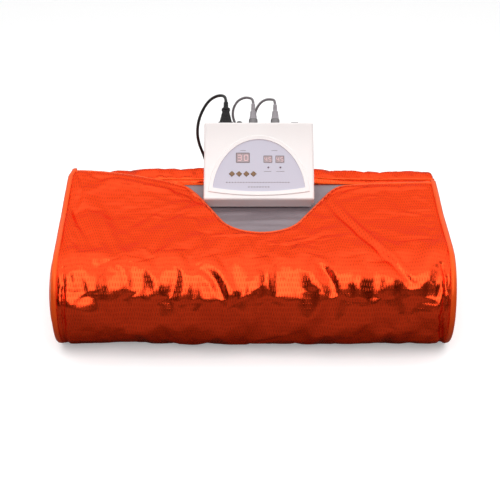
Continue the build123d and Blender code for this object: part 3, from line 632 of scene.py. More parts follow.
VALLEYS = [
    (((-0.388, 0.07), (-0.360, 0.16), (-0.324, 0.262)), 0.006, -0.0028),
    (((0.257, 0.058), (0.257, 0.070)), 0.010, -0.0018),
    (((0.371, 0.305), (0.377, 0.340), (0.378, 0.378)), 0.0040, -0.0050),
    (((0.376, 0.378), (0.371, 0.420), (0.379, 0.500), (0.380, 0.545)), 0.0042, -0.0085),
    (((-0.378, 0.315), (-0.373, 0.355), (-0.374, 0.400), (-0.379, 0.545)), 0.0038, -0.0060),
    (((-0.365, 0.005), (-0.345, 0.020), (-0.315, 0.030)), 0.005, -0.0030),
    (((-0.385, 0.012), (-0.370, 0.035), (-0.362, 0.060)), 0.005, -0.0030),
    (((0.150, 0.330), (0.162, 0.352), (0.167, 0.376)), 0.007, -0.0014),
]
STEPS = [
    (((0.155, 0.058), (0.174, 0.096), (0.192, 0.139), (0.236, 0.234), (0.288, 0.318), (0.318, 0.355)),
     0.0085, 0.0034),
    (((0.128, 0.300), (0.150, 0.325), (0.163, 0.352), (0.168, 0.378)), 0.010, 0.0024),
    (((-0.105, 0.325), (-0.080, 0.350), (-0.062, 0.385)), 0.010, -0.0024),
]


def cloth_relief(x, s):
    """How far the flap's cloth stands out from its folded line, in metres."""
    shoulder = smooth((s - 0.17) / 0.14) * smooth((0.56 - s) / 0.12)
    out = 0.0035 * field(x, s, 0.15, 0.11, 1) + 0.0012 * field(x, s, 0.045, 0.07, 2)
    out = out + shoulder * (0.0064 * field(x, s, 0.038, 0.054, 3) + 0.0017 * field(x, s, 0.018, 0.045, 4))
    for lines, fullness in ((RIDGES, 1.4), (VALLEYS, 1), (STEPS, 1.6)):
        for line, width, height in lines:
            out = out + crease(x, s, line, width, fullness * height, step=lines is STEPS)
    return out


print(len(RIDGES) + len(VALLEYS) + len(STEPS), "creases by hand")

# %% [markdown]
# ## The flap's quilted cover
# The cover is one closed padded skin, folded with the bag. Its outer face is a fine grid where it
# shows and a coarser one underneath; its inner face is coarse. The first rows bend round the neck.

# %% Build grids of cloth
def only(piece):
    """Select this piece alone and make it active, as an operator or a modifier needs."""
    bpy.ops.object.select_all(action="DESELECT")
    piece.select_set(True)
    bpy.context.view_layer.objects.active = piece


def open_mesh():
    """Enter edit mode with the whole mesh selected."""
    bpy.ops.object.mode_set(mode="EDIT")
    bpy.ops.mesh.select_all(action="SELECT")


def close_mesh():
    bpy.ops.object.mode_set(mode="OBJECT")


def mesh_piece(name, points, faces, uv=None):
    """A smooth mesh object from points, faces and a place on the cloth for each point."""
    mesh = bpy.data.meshes.new(name)
    mesh.from_pydata([tuple(p) for p in points], [], faces)
    mesh.polygons.foreach_set("use_smooth", [True] * len(mesh.polygons))
    if uv is not None:
        layer = mesh.uv_layers.new(name="cloth")
        corners = np.array([loop.vertex_index for loop in mesh.loops])
        layer.data.foreach_set("uv", np.asarray(uv, np.float32)[corners].ravel())
    piece = bpy.data.objects.new(name, mesh)
    bpy.context.collection.objects.link(piece)
    return piece


def grid_faces(rows, columns, start=0, flip=False):
    """The faces between rows and columns of points."""
    faces = []
    for r in range(rows - 1):
        for c in range(columns - 1):
            a = start + r * columns + c
            face = (a, a + columns, a + columns + 1, a + 1)
            faces.append(face[::-1] if flip else face)
    return faces


def tube_faces(count, corners):
    """The faces of a tube of this many rings, closed at both ends."""
    faces = [(r * corners + c, r * corners + (c + 1) % corners, (r + 1) * corners + (c + 1) % corners,
              (r + 1) * corners + c) for r in range(count - 1) for c in range(corners)]
    return faces + [tuple(range(corners))[::-1], tuple((count - 1) * corners + c for c in range(corners))]


def folded_grid(d, xs, counts, head, rise, lifted=False):
    """Points (row, column, 3) of a ply and their places on the cloth; rise gives how far it stands out."""
    rows = fold_rows(d, counts)
    panel, t, run = rows[:, 0], rows[:, 1], rows[:, 6]
    x = np.broadcast_to(xs, (len(rows), len(xs)))
    y, z, ny, nz = (np.repeat(rows[:, k:k + 1], len(xs), 1) for k in (2, 3, 4, 5))
    s = np.repeat(run[:, None], len(xs), 1)
    top = panel == 0
    y[top] = head(xs)[None, :] + (FRONT_Y - head(xs)[None, :]) * t[top][:, None]
    s[top] = HEAD_Y - y[top]
    out = rise(x, s)
    places = np.stack([drawn_in(x, s) if lifted else x, y + ny * out, np.maximum(z + nz * out, LOWEST)], -1)
    if lifted:
        raised = places[top]
        carried_by_roll(raised)
        places[top] = raised
    return places, np.stack([x, s], -1)


def closed_skin(name, outer, outer_uv, inner, inner_uv, every, flip=False):
    """Join a fine outer grid and an inner grid that has one row and column for `every` of the outer's."""
    rows, columns = outer.shape[:2]
    in_rows, in_columns = inner.shape[:2]
    base = rows * columns
    faces = grid_faces(rows, columns, 0, not flip) + grid_faces(in_rows, in_columns, base, flip)
    for side in range(4):
        long = in_columns if side < 2 else in_rows
        for n in range(long - 1):
            fine_steps = range(n * every, (n + 1) * every + 1)
            if side < 2:
                row, in_row = (0, 0) if side == 0 else (rows - 1, in_rows - 1)
                edge = [row * columns + c for c in fine_steps]
                back = [base + in_row * in_columns + n + 1, base + in_row * in_columns + n]
            else:
                column, in_column = (0, 0) if side == 2 else (columns - 1, in_columns - 1)
                edge = [r * columns + column for r in fine_steps]
                back = [base + (n + 1) * in_columns + in_column, base + n * in_columns + in_column]
            face = edge + back
            faces.append(tuple(face if (side in (0, 3)) != flip else face[::-1]))
    points = np.concatenate([outer.reshape(-1, 3), inner.reshape(-1, 3)])
    uv = np.concatenate([outer_uv.reshape(-1, 2), inner_uv.reshape(-1, 2)])
    return mesh_piece(name, points, faces, uv)


# %% [markdown]
# Real cloth finds its own small puckers. So the two padded pieces that show most are settled by Blender's
# cloth simulation: their seams are held, and the cloth between them is a little too large and swells.

# %% Let cloth settle
def settled(piece, weights, pressure, growth, frames, cap):
    """Run the simulation on a piece held by its weights, and keep moves of up to `cap` metres."""
    before = np.array([v.co for v in piece.data.vertices])
    held = piece.vertex_groups.new(name="held")
    for level in np.unique(weights):
        held.add([int(n) for n in np.flatnonzero(weights == level)], float(level), "REPLACE")
    only(piece)
    cloth = piece.modifiers.new("cloth", "CLOTH")
    settings = cloth.settings
    settings.quality, settings.mass, settings.air_damping = 5, 0.25, 3.0
    settings.tension_stiffness = settings.compression_stiffness = 25
    settings.shear_stiffness, settings.bending_stiffness = 8, 0.6
    settings.shrink_min = settings.shrink_max = -growth
    settings.use_pressure, settings.uniform_pressure_force = True, pressure
    settings.effector_weights.gravity = 0
    settings.vertex_group_mass, settings.pin_stiffness = "held", 1.0
    cloth.point_cache.frame_start, cloth.point_cache.frame_end = 1, frames
    for step in range(1, frames + 1):
        bpy.context.scene.frame_set(step)
    bpy.ops.object.modifier_apply(modifier=cloth.name)
    bpy.context.scene.frame_set(1)
    moves = np.array([v.co for v in piece.data.vertices]) - before
    size = np.linalg.norm(moves, axis=1)
    moves *= (np.minimum(size, cap) / np.maximum(size, 1e-9))[:, None]
    after = before + np.where(np.isfinite(moves), moves, 0)
    after[:, 2] = np.maximum(after[:, 2], LOWEST)
    piece.data.vertices.foreach_set("co", after.ravel())
    piece.vertex_groups.clear()
    piece.data.update()
    mean, most = float(np.mean(size)) / MM, float(size.max()) / MM
    print(piece.name, "settled by", round(mean, 2), "mm on average,", round(most, 1), "at most")


# %% The flap cover
EDGE_X, NEAR_EDGE, EVERY, TUCK = 0.392, 0.352, 4, 0.0035
edge_steps = np.linspace(NEAR_EDGE, EDGE_X, 21)
xs = np.concatenate([-edge_steps[::-1], np.linspace(-NEAR_EDGE, NEAR_EDGE, 161)[1:-1], edge_steps])
COUNTS = (80, 88, 28, 20, 28, 4, 32)


def flap_rise(x, s):
    """The relief, rolled down towards the bound edges and calm where it is hidden."""
    side = np.clip((np.abs(x) - 0.372) / 0.020, 0, 1)
    head = np.clip(1 - (s - (HEAD_Y - head_edge(x))) / 0.016, 0, 1)
    calm = 1 - 0.85 * smooth((np.abs(x) - 0.385) / 0.006)
    hidden = smooth((s - 0.55) / 0.04)
    out = cloth_relief(x, s) * calm * (1 - 0.8 * head) * (1 - hidden)
    return out - TUCK * side**2 - TUCK * head**2 - 0.001 * hidden


def flat(x, s):
    """No relief at all."""
    return 0 * x


outer, outer_uv = folded_grid(FLAP_OUT, xs, COUNTS, head_edge, flap_rise, lifted=True)
inner_counts = tuple(count // EVERY for count in COUNTS)
inner, inner_uv = folded_grid(SHELL_IN, xs[::EVERY], inner_counts, head_edge, flat, lifted=True)
flap_cover = closed_skin("flap_cover", outer, outer_uv, inner, inner_uv, EVERY)
outer_count = outer.shape[0] * outer.shape[1]
hold = np.full(len(flap_cover.data.vertices), 1.0)
cloth_x, cloth_s = outer_uv[..., 0], outer_uv[..., 1]
from_side, from_head = EDGE_X - np.abs(cloth_x), cloth_s - HEAD_Y + head_edge(cloth_x)
loose = np.minimum(np.minimum(from_side / 0.02, from_head / 0.02), (0.60 - cloth_s) / 0.03)
hold[:outer_count] = np.round(1 - 0.9 * np.clip(loose, 0, 1), 1).ravel()
settled(flap_cover, hold, 1.0, 0.012, 16, 0.005)
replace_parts(flap_cover, "flap_quilted_shell")
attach(dress(flap_cover, "orange_satin"), "blanket")
print("flap cover has", len(flap_cover.data.polygons), "faces")

# %% [markdown]
# ## The base's cover and the silver lining
# The base is the same bag's lower layer. Only its lining shows, inside the neck cut-out, where it is
# slack over the wadding, so it gets long soft ripples. It is a thin sheet, coated to reflect heat.

# %% Base cover
base_xs = np.linspace(-EDGE_X, EDGE_X, 2 * 33 + 1)
BASE_HEAD, BASE_COUNTS = 0.147, (24, 20, 20, 8, 24, 12, 24)


def base_edge(x):
    """The base's head edge, which is straight."""
    return np.full(np.shape(x), BASE_HEAD)


def base_rise(x, s):
    """A little unevenness of the wadding."""
    return 0.0006 * (1 + field(x, s, 0.06, 0.08, 5))


outer, outer_uv = folded_grid(-FLAP_OUT, base_xs, BASE_COUNTS, base_edge, base_rise)
half_counts = tuple(count // 2 for count in BASE_COUNTS)
inner, inner_uv = folded_grid(-SHELL_IN, base_xs[::2], half_counts, base_edge, flat)
base_cover = closed_skin("base_cover", outer, outer_uv, inner, inner_uv, 2, flip=True)
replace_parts(base_cover, "base_quilted_shell")
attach(dress(base_cover, "orange_satin"), "blanket")

# %% Silver lining
LINING_AT, LINING_THICK = -0.0014, 0.0006
lining_xs = np.linspace(-EDGE_X, EDGE_X, 161)


def lining_rise(x, s):
    """Ripples that run across the opening, calm where the controller stands and under the flap."""
    open_part = smooth((HEAD_Y - head_edge(x) - s) / 0.014)
    shown = open_part * smooth((s - 0.055) / 0.02)
    ripples = 0.0042 * field(x + 0.5 * s, s, 0.09, 0.020, 6) + 0.0022 * field(x, s, 0.05, 0.04, 7)
    return np.clip(shown * (ripples + 0.0008), -0.0002, 0.0035)


lining, lining_uv = folded_grid(LINING_AT, lining_xs, (70, 24, 16, 12, 16, 12, 16), base_edge, lining_rise)
lining[..., 2] += 0.023 * smooth((lining[..., 1] - 0.094) / 0.052) * (lining[..., 2] > 0.15)
rows, columns = lining.shape[:2]
silver = mesh_piece("silver_lining_sheet", lining.reshape(-1, 3), grid_faces(rows, columns, 0, True),
                    lining_uv.reshape(-1, 2))
only(silver)
wall = silver.modifiers.new("wall", "SOLIDIFY")
wall.thickness, wall.offset = LINING_THICK, 0
bpy.ops.object.modifier_apply(modifier=wall.name)
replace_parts(silver, "base_lining")
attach(dress(silver, "silver_lining"), "blanket")

# %% [markdown]
# ## The bindings
# A bright tape is folded over each raw edge and sewn down. Along the sides it follows the folded line;
# at the head it follows the neck. The tape is a rounded profile carried along the edge, and its row of
# stitches is modelled, because it catches the light.

# %% Carry a profile along a line
def run_along(line):
    """How far along a line of places each of them is."""
    return np.concatenate([[0], np.cumsum(np.linalg.norm(np.diff(line, axis=0), axis=1))])


def same(way, count):
    """One direction, for each of this many places."""
    return np.repeat([way], count, 0)


def carried(name, origins, outs, ups, profile, runs):
    """A closed profile of (out, up) corners carried along a line that has an out and an up direction."""
    profile = np.asarray(profile)
    count, corners = len(origins), len(profile)
    along_out, along_up = outs[:, None, :] * profile[None, :, :1], ups[:, None, :] * profile[None, :, 1:]
    points = origins[:, None, :] + along_out + along_up
    points[:, :, 2] = np.maximum(points[:, :, 2], LOWEST)
    round_profile = np.broadcast_to(run_along(profile), (count, corners))
    uv = np.stack([round_profile, np.repeat(runs[:, None], corners, 1)], -1)
    piece = mesh_piece(name, points.reshape(-1, 3), tube_faces(count, corners), uv.reshape(-1, 2))
    only(piece)
    open_mesh()
    bpy.ops.mesh.normals_make_consistent(inside=False)
    close_mesh()
    return piece


STITCH_CORNERS = ((-1, 0, 0), (-0.6, 1, 0), (-0.6, 0, 1), (-0.6, -1, 0), (0.6, 1, 0), (0.6, 0, 1),
                  (0.6, -1, 0), (1, 0, 0))
STITCH_FACES = ((0, 2, 1), (0, 3, 2), (0, 1, 3), (1, 2, 5, 4), (2, 3, 6, 5), (3, 1, 4, 6), (4, 5, 7),
                (5, 6, 7), (6, 4, 7))


def stitches(name, places, ways, ups, length=0.0032, thick=0.0007):
    """A row of short raised stitches: each a flat-ended lozenge of a few faces."""
    points, faces = [], []
    for place, way, up in zip(places, ways, ups):
        side = np.cross(way, up)
        start = len(points)
        for along, wide, high in STITCH_CORNERS:
            corner = place + way * along * length / 2 + side * wide * thick + up * high * thick
            points.append((corner[0], corner[1], max(corner[2], LOWEST)))
        faces += [tuple(start + n for n in face) for face in STITCH_FACES]
    return mesh_piece(name, points, faces)


def side_line(x, d, counts, head, rise=None, lifted=False):
    """The folded line of a side edge: places, the way that d grows, and the run."""
    rows = fold_rows(d, counts, head)
    places = np.column_stack([np.full(len(rows), x), rows[:, 2], rows[:, 3]])
    ups = np.column_stack([np.zeros(len(rows)), rows[:, 4], rows[:, 5]])
    if rise is not None:
        places += ups * rise(np.full(len(rows), x), rows[:, 6])[:, None]
    if lifted:
        places[:, 0] = drawn_in(places[:, 0], rows[:, 6])
        raised = places[rows[:, 0] == 0]
        carried_by_roll(raised)
        places[rows[:, 0] == 0] = raised
    return places, ups, rows[:, 6]


# %% Side bindings of the flap and the base
FLAP_TAPE = [(0.0, 0.0246), (0.0002, 0.0254), (0.0040, 0.0257), (0.0080, 0.0248), (0.0108, 0.0225),
             (0.0120, 0.0180), (0.0120, 0.0080), (0.0110, 0.0035), (0.0080, 0.0014), (0.0020, 0.0010),
             (0.0, 0.0014), (0.0, 0.0120)]
BASE_TAPE = [(out, -up) for out, up in FLAP_TAPE]
BINDING_COUNTS = (60, 70, 24, 28, 24, 16, 24)
TAPE_X, TAPE_HEAD = 0.388, 0.139


def tape_wave(x, s):
    """A sewn tape is never quite even."""
    return 0.0008 * field(x, s, 0.05, 0.05, 8)


for side, sign in (("left", -1), ("right", 1)):
    for layer, profile, head in (("flap", FLAP_TAPE, TAPE_HEAD), ("base", BASE_TAPE, BASE_HEAD)):
        places, ups, run = side_line(sign * TAPE_X, 0, BINDING_COUNTS, head, tape_wave, layer == "flap")
        tape = carried(f"{layer}_tape_{side}", places, same((sign, 0, 0), len(places)), ups, profile, run)
        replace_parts(tape, f"{layer}_binding_{side}")
        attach(dress(tape, "orange_binding"), "blanket")

# %% Binding of the head edge and the neck
dense = np.linspace(-0.394, 0.394, 3000)
edge = np.column_stack([dense, head_edge(dense)])
along = run_along(edge)
runs = np.linspace(0, along[-1], 380)
edge_x, edge_y = np.interp(runs, along, dense), np.interp(runs, along, edge[:, 1])
edge_line = np.column_stack([edge_x, edge_y, np.full(len(edge_x), BAG_TOP)])
carried_by_roll(edge_line)
ways = np.gradient(np.column_stack([edge_x, edge_y, 0 * edge_x]), axis=0)
ways /= np.linalg.norm(ways, axis=1)[:, None]
edge_ups = same((0.0, 0.0, 1.0), len(edge_line))
edge_outs = np.cross(edge_ups, ways)
HEAD_TAPE = [(-0.0080, 0.0222), (-0.0075, 0.0232), (-0.0040, 0.0240), (0.0, 0.0236), (0.0028, 0.0216),
             (0.0042, 0.0180), (0.0044, 0.0090), (0.0036, 0.0040), (0.0010, 0.0014), (-0.0060, 0.0010),
             (-0.0080, 0.0014), (-0.0080, 0.0120)]
head_tape = carried("neck_tape", edge_line, edge_outs, edge_ups, HEAD_TAPE, runs)
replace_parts(head_tape, "neck_binding")
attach(dress(head_tape, "orange_binding"), "blanket")

# %% Stitches beside the tapes
STITCH_GAP, STITCH_X, STITCH_OUT, LAST_STITCH = 0.0048, 0.3905, 0.0253, 0.57


def spaced(places, ups):
    """Places a stitch apart along a line, with the way along it and its up direction."""
    along = run_along(places)
    at = np.arange(STITCH_GAP, along[-1] - STITCH_GAP, STITCH_GAP)
    at_places, way, at_ups = (np.column_stack([np.interp(at, along, values[:, k]) for k in range(3)])
                              for values in (places, np.gradient(places, axis=0), ups))
    return at_places, way / np.linalg.norm(way, axis=1)[:, None], at_ups


for side, sign in (("left", -1), ("right", 1)):
    places, ups, run = side_line(sign * STITCH_X, STITCH_OUT, BINDING_COUNTS, HEAD_Y, tape_wave, lifted=True)
    shown = run < LAST_STITCH
    row = stitches(f"side_stitches_{side}", *spaced(places[shown], ups[shown]))
    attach(dress(row, "orange_binding"), "blanket")
head_places = edge_line - edge_outs * 0.0052
head_places[:, 2] += 0.0236
row = stitches("head_stitches", *spaced(head_places, edge_ups))
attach(dress(row, "orange_binding"), "blanket")

# %% [markdown]
# ## The head roll
# The base ends in a padded roll, which the controller leans on. It is full in the middle, slimmer at
# the right end, and pressed down at the left, where the flap's corner lies on it. Two rows of piping
# run along its front seam.

# %% Head roll
ROLL_Y, ROLL_Z, ROLL_RADIUS, ROUND_STEPS = 0.175, 0.193, 0.030, 48
FULL_LEFT, FULL_RIGHT = 0.385, 0.390
roll_xs = np.concatenate([[-HALF_WIDTH, -0.399, -0.396, -0.391], np.linspace(-FULL_LEFT, FULL_RIGHT, 150),
                          [0.394, 0.397, 0.3992, HALF_WIDTH]])


def roll_size(x):
    """Height of the roll's top above its middle at x, and how far it is pushed back."""
    slim = smooth((x - 0.10) / 0.12)
    pressed = smooth((-x - 0.20) / 0.16)
    return ROLL_RADIUS - 0.008 * slim - 0.011 * pressed, 0.004 * pressed


def roll_points():
    """Rings of points round the roll: uneven, rounded at its ends, with a tail sewn to the base."""
    points, uv = [], []
    for x in roll_xs:
        top, pushed = roll_size(x)
        full = FULL_LEFT if x < 0 else FULL_RIGHT
        past = max(abs(x) - full, 0) / (HALF_WIDTH - full)
        end = np.sqrt(np.clip(1 - past**2, 0.02, 1))
        for n in range(ROUND_STEPS):
            a = 2 * pi * n / ROUND_STEPS
            wave = 1 + 0.035 * noise.noise((x / 0.05, 2 * cos(a), 2 * sin(a)))
            wave += 0.02 * noise.noise((x / 0.02, cos(a), 3 * sin(a)))
            y, z = ROLL_RADIUS * cos(a) * wave, (top if sin(a) > 0 else ROLL_RADIUS) * sin(a) * wave
            tail = smooth((-cos(a) - 0.55) / 0.4) * smooth((0.25 - sin(a)) / 0.5)
            y, z = y * (1 - tail) - 0.027 * tail, z * (1 - tail) + (-0.025 + 0.010 * sin(a)) * tail
            points.append((x, ROLL_Y + pushed + y * end, ROLL_Z + z * end))
            uv.append((x, a * ROLL_RADIUS))
    return np.array(points), np.array(uv)


points, uv = roll_points()
roll = mesh_piece("head_roll", points, tube_faces(len(roll_xs), ROUND_STEPS), uv)
along_roll = np.repeat(roll_xs, ROUND_STEPS)
round_roll = np.tile(2 * pi * np.arange(ROUND_STEPS) / ROUND_STEPS, len(roll_xs))
seam = (np.abs(round_roll - radians(140)) < radians(16)) | (np.abs(round_roll - radians(200)) < radians(35))
hold = np.where(seam | (np.abs(along_roll) > 0.384), 1.0, 0.1)
settled(roll, hold, 2.0, 0.02, 20, 0.006)
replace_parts(roll, "head_bolster")
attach(dress(roll, "orange_satin"), "blanket")

# %% Piping along the roll
PIPE_SIDES, PIPE_OUT = 10, 0.0006


def along_x(name, xs, ys, zs, profile):
    """A profile carried along a line that runs across the blanket."""
    outs, ups = same((0.0, 1.0, 0.0), len(xs)), same((0.0, 0.0, 1.0), len(xs))
    return carried(name, np.column_stack([xs, ys, zs]), outs, ups, profile, xs)


pipe_xs = np.linspace(-0.395, 0.398, 200)
top_of, pushed = roll_size(pipe_xs)
sag = np.array([0.0012 * noise.noise((x / 0.06, 0.3, 9.1)) for x in pipe_xs])
left_side = 1 - smooth((pipe_xs + 0.05) / 0.20)
for name, angle, drop, radius in (("upper_piping", 128, 12, 0.0021), ("lower_piping", 151, 9, 0.0023)):
    turn = np.radians(angle + drop * left_side)
    ys = ROLL_Y + pushed + (ROLL_RADIUS + PIPE_OUT) * np.cos(turn) + sag
    zs = ROLL_Z + (top_of + PIPE_OUT) * np.sin(turn) + sag
    angles = np.arange(PIPE_SIDES) * 2 * pi / PIPE_SIDES
    pipe = along_x(name, pipe_xs, ys, zs, np.column_stack([np.cos(angles), np.sin(angles)]) * radius)
    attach(dress(pipe, "orange_binding"), "blanket")

# %% [markdown]
# ## The foot end
# Both layers end together at the back, where one wide tape closes the bag.

# %% Foot binding
FOOT_TAPE = [(-0.006, 0.0255), (-0.002, 0.0262), (0.0020, 0.0245), (0.0038, 0.0200), (0.0040, 0.0),
             (0.0038, -0.0200), (0.0020, -0.0245), (-0.002, -0.0262), (-0.006, -0.0255)]
foot_xs = np.linspace(-HALF_WIDTH, HALF_WIDTH, 120)
foot_wave = np.array([0.0010 * noise.noise((x / 0.07, 5.2, 0.7)) for x in foot_xs])
foot_zs = np.full(len(foot_xs), FOOT_Z)
foot_tape = along_x("foot_tape", foot_xs, FOOT_Y + foot_wave - 0.0004, foot_zs,
                    [(out, up * 0.95) for out, up in FOOT_TAPE])
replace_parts(foot_tape, "foot_binding")
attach(dress(foot_tape, "orange_binding"), "blanket")

# %% [markdown]
# ## The plugs
# A moulded plug is an outline that grows along its way out, so it is modelled as one: a flat primitive is
# extruded level by level, and each new end is resized. Grooves between ribs are inset into its side, and
# the sleeve that protects the lead from a sharp bend is a stack of rings.

# %% Grow a plug from a flat outline
PLUG_SIDES = 32


def grown(name, levels):
    """Extrude the new flat primitive through levels (z, width, depth) in millimetres, resizing each end."""
    piece = bpy.context.object
    piece.name = name
    open_mesh()
    for (z, wide, deep), (next_z, next_wide, next_deep) in zip(levels, levels[1:]):
        bpy.ops.mesh.extrude_region_move(TRANSFORM_OT_translate={"value": (0, 0, (next_z - z) * MM)})
        bpy.ops.transform.resize(value=(next_wide / wide, next_deep / deep, 1),
                                 center_override=(0, 0, next_z * MM))
    bpy.ops.mesh.select_all(action="SELECT")
    bpy.ops.mesh.normals_make_consistent(inside=False)
    close_mesh()
    return piece


def round_plug(name, levels):
    """A round piece through levels (z, radius) in millimetres."""
    bpy.ops.mesh.primitive_circle_add(vertices=PLUG_SIDES, radius=levels[0][1] * MM, fill_type="NGON",
                                      location=(0, 0, levels[0][0] * MM))
    bpy.ops.object.transform_apply()
    return grown(name, [(z, radius, radius) for z, radius in levels])


def grooved(piece, low, high, depth):
    """Inset every second side face between two heights and push it in, which leaves ribs."""
    only(piece)
    open_mesh()
    bpy.ops.mesh.select_mode(type="FACE")
    bpy.ops.mesh.select_all(action="DESELECT")
    close_mesh()
    for face in piece.data.polygons:
        side = floor(atan2(face.center.y, face.center.x) / (2 * pi) * PLUG_SIDES)
        upright = low * MM < face.center.z < high * MM and abs(face.normal.z) < 0.5
        face.select = upright and side % 2 == 0
    bpy.ops.object.mode_set(mode="EDIT")
    bpy.ops.mesh.inset(thickness=0.0002, depth=-depth, use_individual=True)
    close_mesh()


def ringed(low, high, radius_low, radius_high, count, groove):
    """Levels of a bending sleeve: rings with grooves between them."""
    levels, step = [], (high - low) / count
    for k in range(count):
        size = radius_low + (radius_high - radius_low) * (k + 0.5) / count
        for part, radius in ((0.0, size - groove), (0.18, size), (0.72, size), (0.90, size - groove)):
            levels.append((low + (k + part) * step, radius))
    return levels + [(high, radius_high - groove)]


def placed_plug(piece, matrix, finish):
    """Lay a finished plug on the back wall, and let it move with the controller."""
    only(piece)
    piece.matrix_world = matrix
    bpy.ops.object.transform_apply()
    bpy.ops.object.shade_smooth_by_angle(angle=radians(35))
    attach(dress(piece, finish), "controller")
    return piece


# %% Mains plug: a flared grip with finger ridges, a collar and a ringed sleeve
FINGER_RIDGES = 7
bpy.ops.mesh.primitive_plane_add(size=1, location=(0, 0, -16.6 * MM))
bpy.context.object.scale = (23.2 * MM, 15.6 * MM, 1)
bpy.ops.object.transform_apply()
open_mesh()
bpy.ops.mesh.bevel(offset=3.4 * MM, segments=5, affect="VERTICES")
close_mesh()
grip_levels = [(-16.6, 23.2, 15.6), (-16.2, 24, 16.4), (2.9, 24, 16.4), (2.9, 26, 20), (3.5, 27, 21),
               (7.4, 26.2, 20.4)]
for ridge in range(FINGER_RIDGES):
    z, wide, deep = 7.6 + 3.5 * ridge, 25.9 - 1.52 * ridge, 20.0 - 0.95 * ridge
    grip_levels += [(z, wide, deep), (z + 0.5, wide - 1.5, deep - 1.5), (z + 1.5, wide - 1.9, deep - 1.8),
                    (z + 2.0, wide - 0.7, deep - 0.5)]
grip_levels += [(33, 15.2, 14.1), (36, 14, 13)]
mains_grip = grown("mains_plug_grip", grip_levels)
collar = round_plug("mains_collar", [(35.6, 8.4), (36.0, 8.9), (36.4, 9.3), (40.0, 9.3), (40.5, 8.8)])
only(collar)
mains_grip.select_set(True)
bpy.context.view_layer.objects.active = mains_grip
bpy.ops.object.join()
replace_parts(placed_plug(mains_grip, on_back(MAINS_X), "black_plastic"), "mains_connector")
mains_boot = round_plug("mains_plug_sleeve", ringed(40.3, MAINS_TIP / MM, 5.5, 4.9, 6, 0.9))
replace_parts(placed_plug(mains_boot, on_back(MAINS_X), "black_pvc"), "mains_strain_relief")
print("mains plug has", len(mains_grip.data.polygons), "faces")

# %% Zone plugs: ribbed bodies inside their coupling rings
for zone, x, tip in (("upper", UPPER_X, UPPER_TIP), ("lower", LOWER_X, LOWER_TIP)):
    levels = [(-7.5, 4.5), (-7.2, 4.8), (13.2, 4.8), (13.2, 7.7), (13.7, 8.2), (15.6, 8.2), (16.2, 8.0),
              (30.8, 6.4), (31.4, 6.5), (33.0, 6.3), (33.5, 5.6), *ringed(33.6, tip / MM, 4.7, 4.0, 6, 0.7)]
    plug = round_plug(f"{zone}_plug_ribbed", levels)
    grooved(plug, 16.3, 30.7, 0.0007)
    placed_plug(plug, on_back(x), "grey_plastic")
    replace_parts(plug, f"{zone}_zone_plug")

# %% [markdown]
# ## Printing and displays on the face
# The membrane has a frame printed round each display, two rows of dashes and short rules. Each digit is
# made of seven bars, as a real display makes it. One bar is modelled, and the rest are its copies.

# %% Plates and bars on the sloping face
face_frame = on_face(0, 0)
from_world = face_frame.inverted()


def box_on_face(name):
    """The lowest and highest corner of a CAD node, measured on the sloping face."""
    corners = [from_world @ v.co for v in nodes[name].data.vertices]
    return [[pick(c[k] for c in corners) for k in range(3)] for pick in (min, max)]


def plate(name, wide, high, thick, border=None):
    """A thin plate round the origin with cut corners, or a frame of that border."""
    bpy.ops.mesh.primitive_plane_add(size=1)
    made = bpy.context.object
    made.name = name
    made.scale = (wide, high, 1)
    bpy.ops.object.transform_apply()
    open_mesh()
    corner = min(wide, high) * (0.3 if border is None else 0.05)
    bpy.ops.mesh.bevel(offset=corner, segments=1, affect="VERTICES")
    if border is not None:
        bpy.ops.mesh.select_all(action="SELECT")
        bpy.ops.mesh.inset(thickness=border)
        bpy.ops.mesh.delete(type="FACE")
    close_mesh()
    wall = made.modifiers.new("wall", "SOLIDIFY")
    wall.thickness, wall.offset = thick, 1
    bpy.ops.object.modifier_apply(modifier=wall.name)
    return made


def joined_copies(piece, places):
    """Copies of a piece at these places on the face (x, up, out, turn, stretch), made one piece."""
    bpy.ops.object.select_all(action="DESELECT")
    name = piece.name
    for x, up, out, turn, stretch in places:
        twin = piece.copy()
        twin.data = piece.data.copy()
        bpy.context.collection.objects.link(twin)
        turned = Matrix.Rotation(turn, 4, "Z") @ Matrix.Diagonal((stretch, 1, 1, 1))
        twin.matrix_world = on_face(x, up, out) @ turned
        twin.select_set(True)
        bpy.context.view_layer.objects.active = twin
    bpy.data.objects.remove(piece)
    bpy.ops.object.join()
    bpy.ops.object.transform_apply()
    bpy.context.object.name = name
    return bpy.context.object


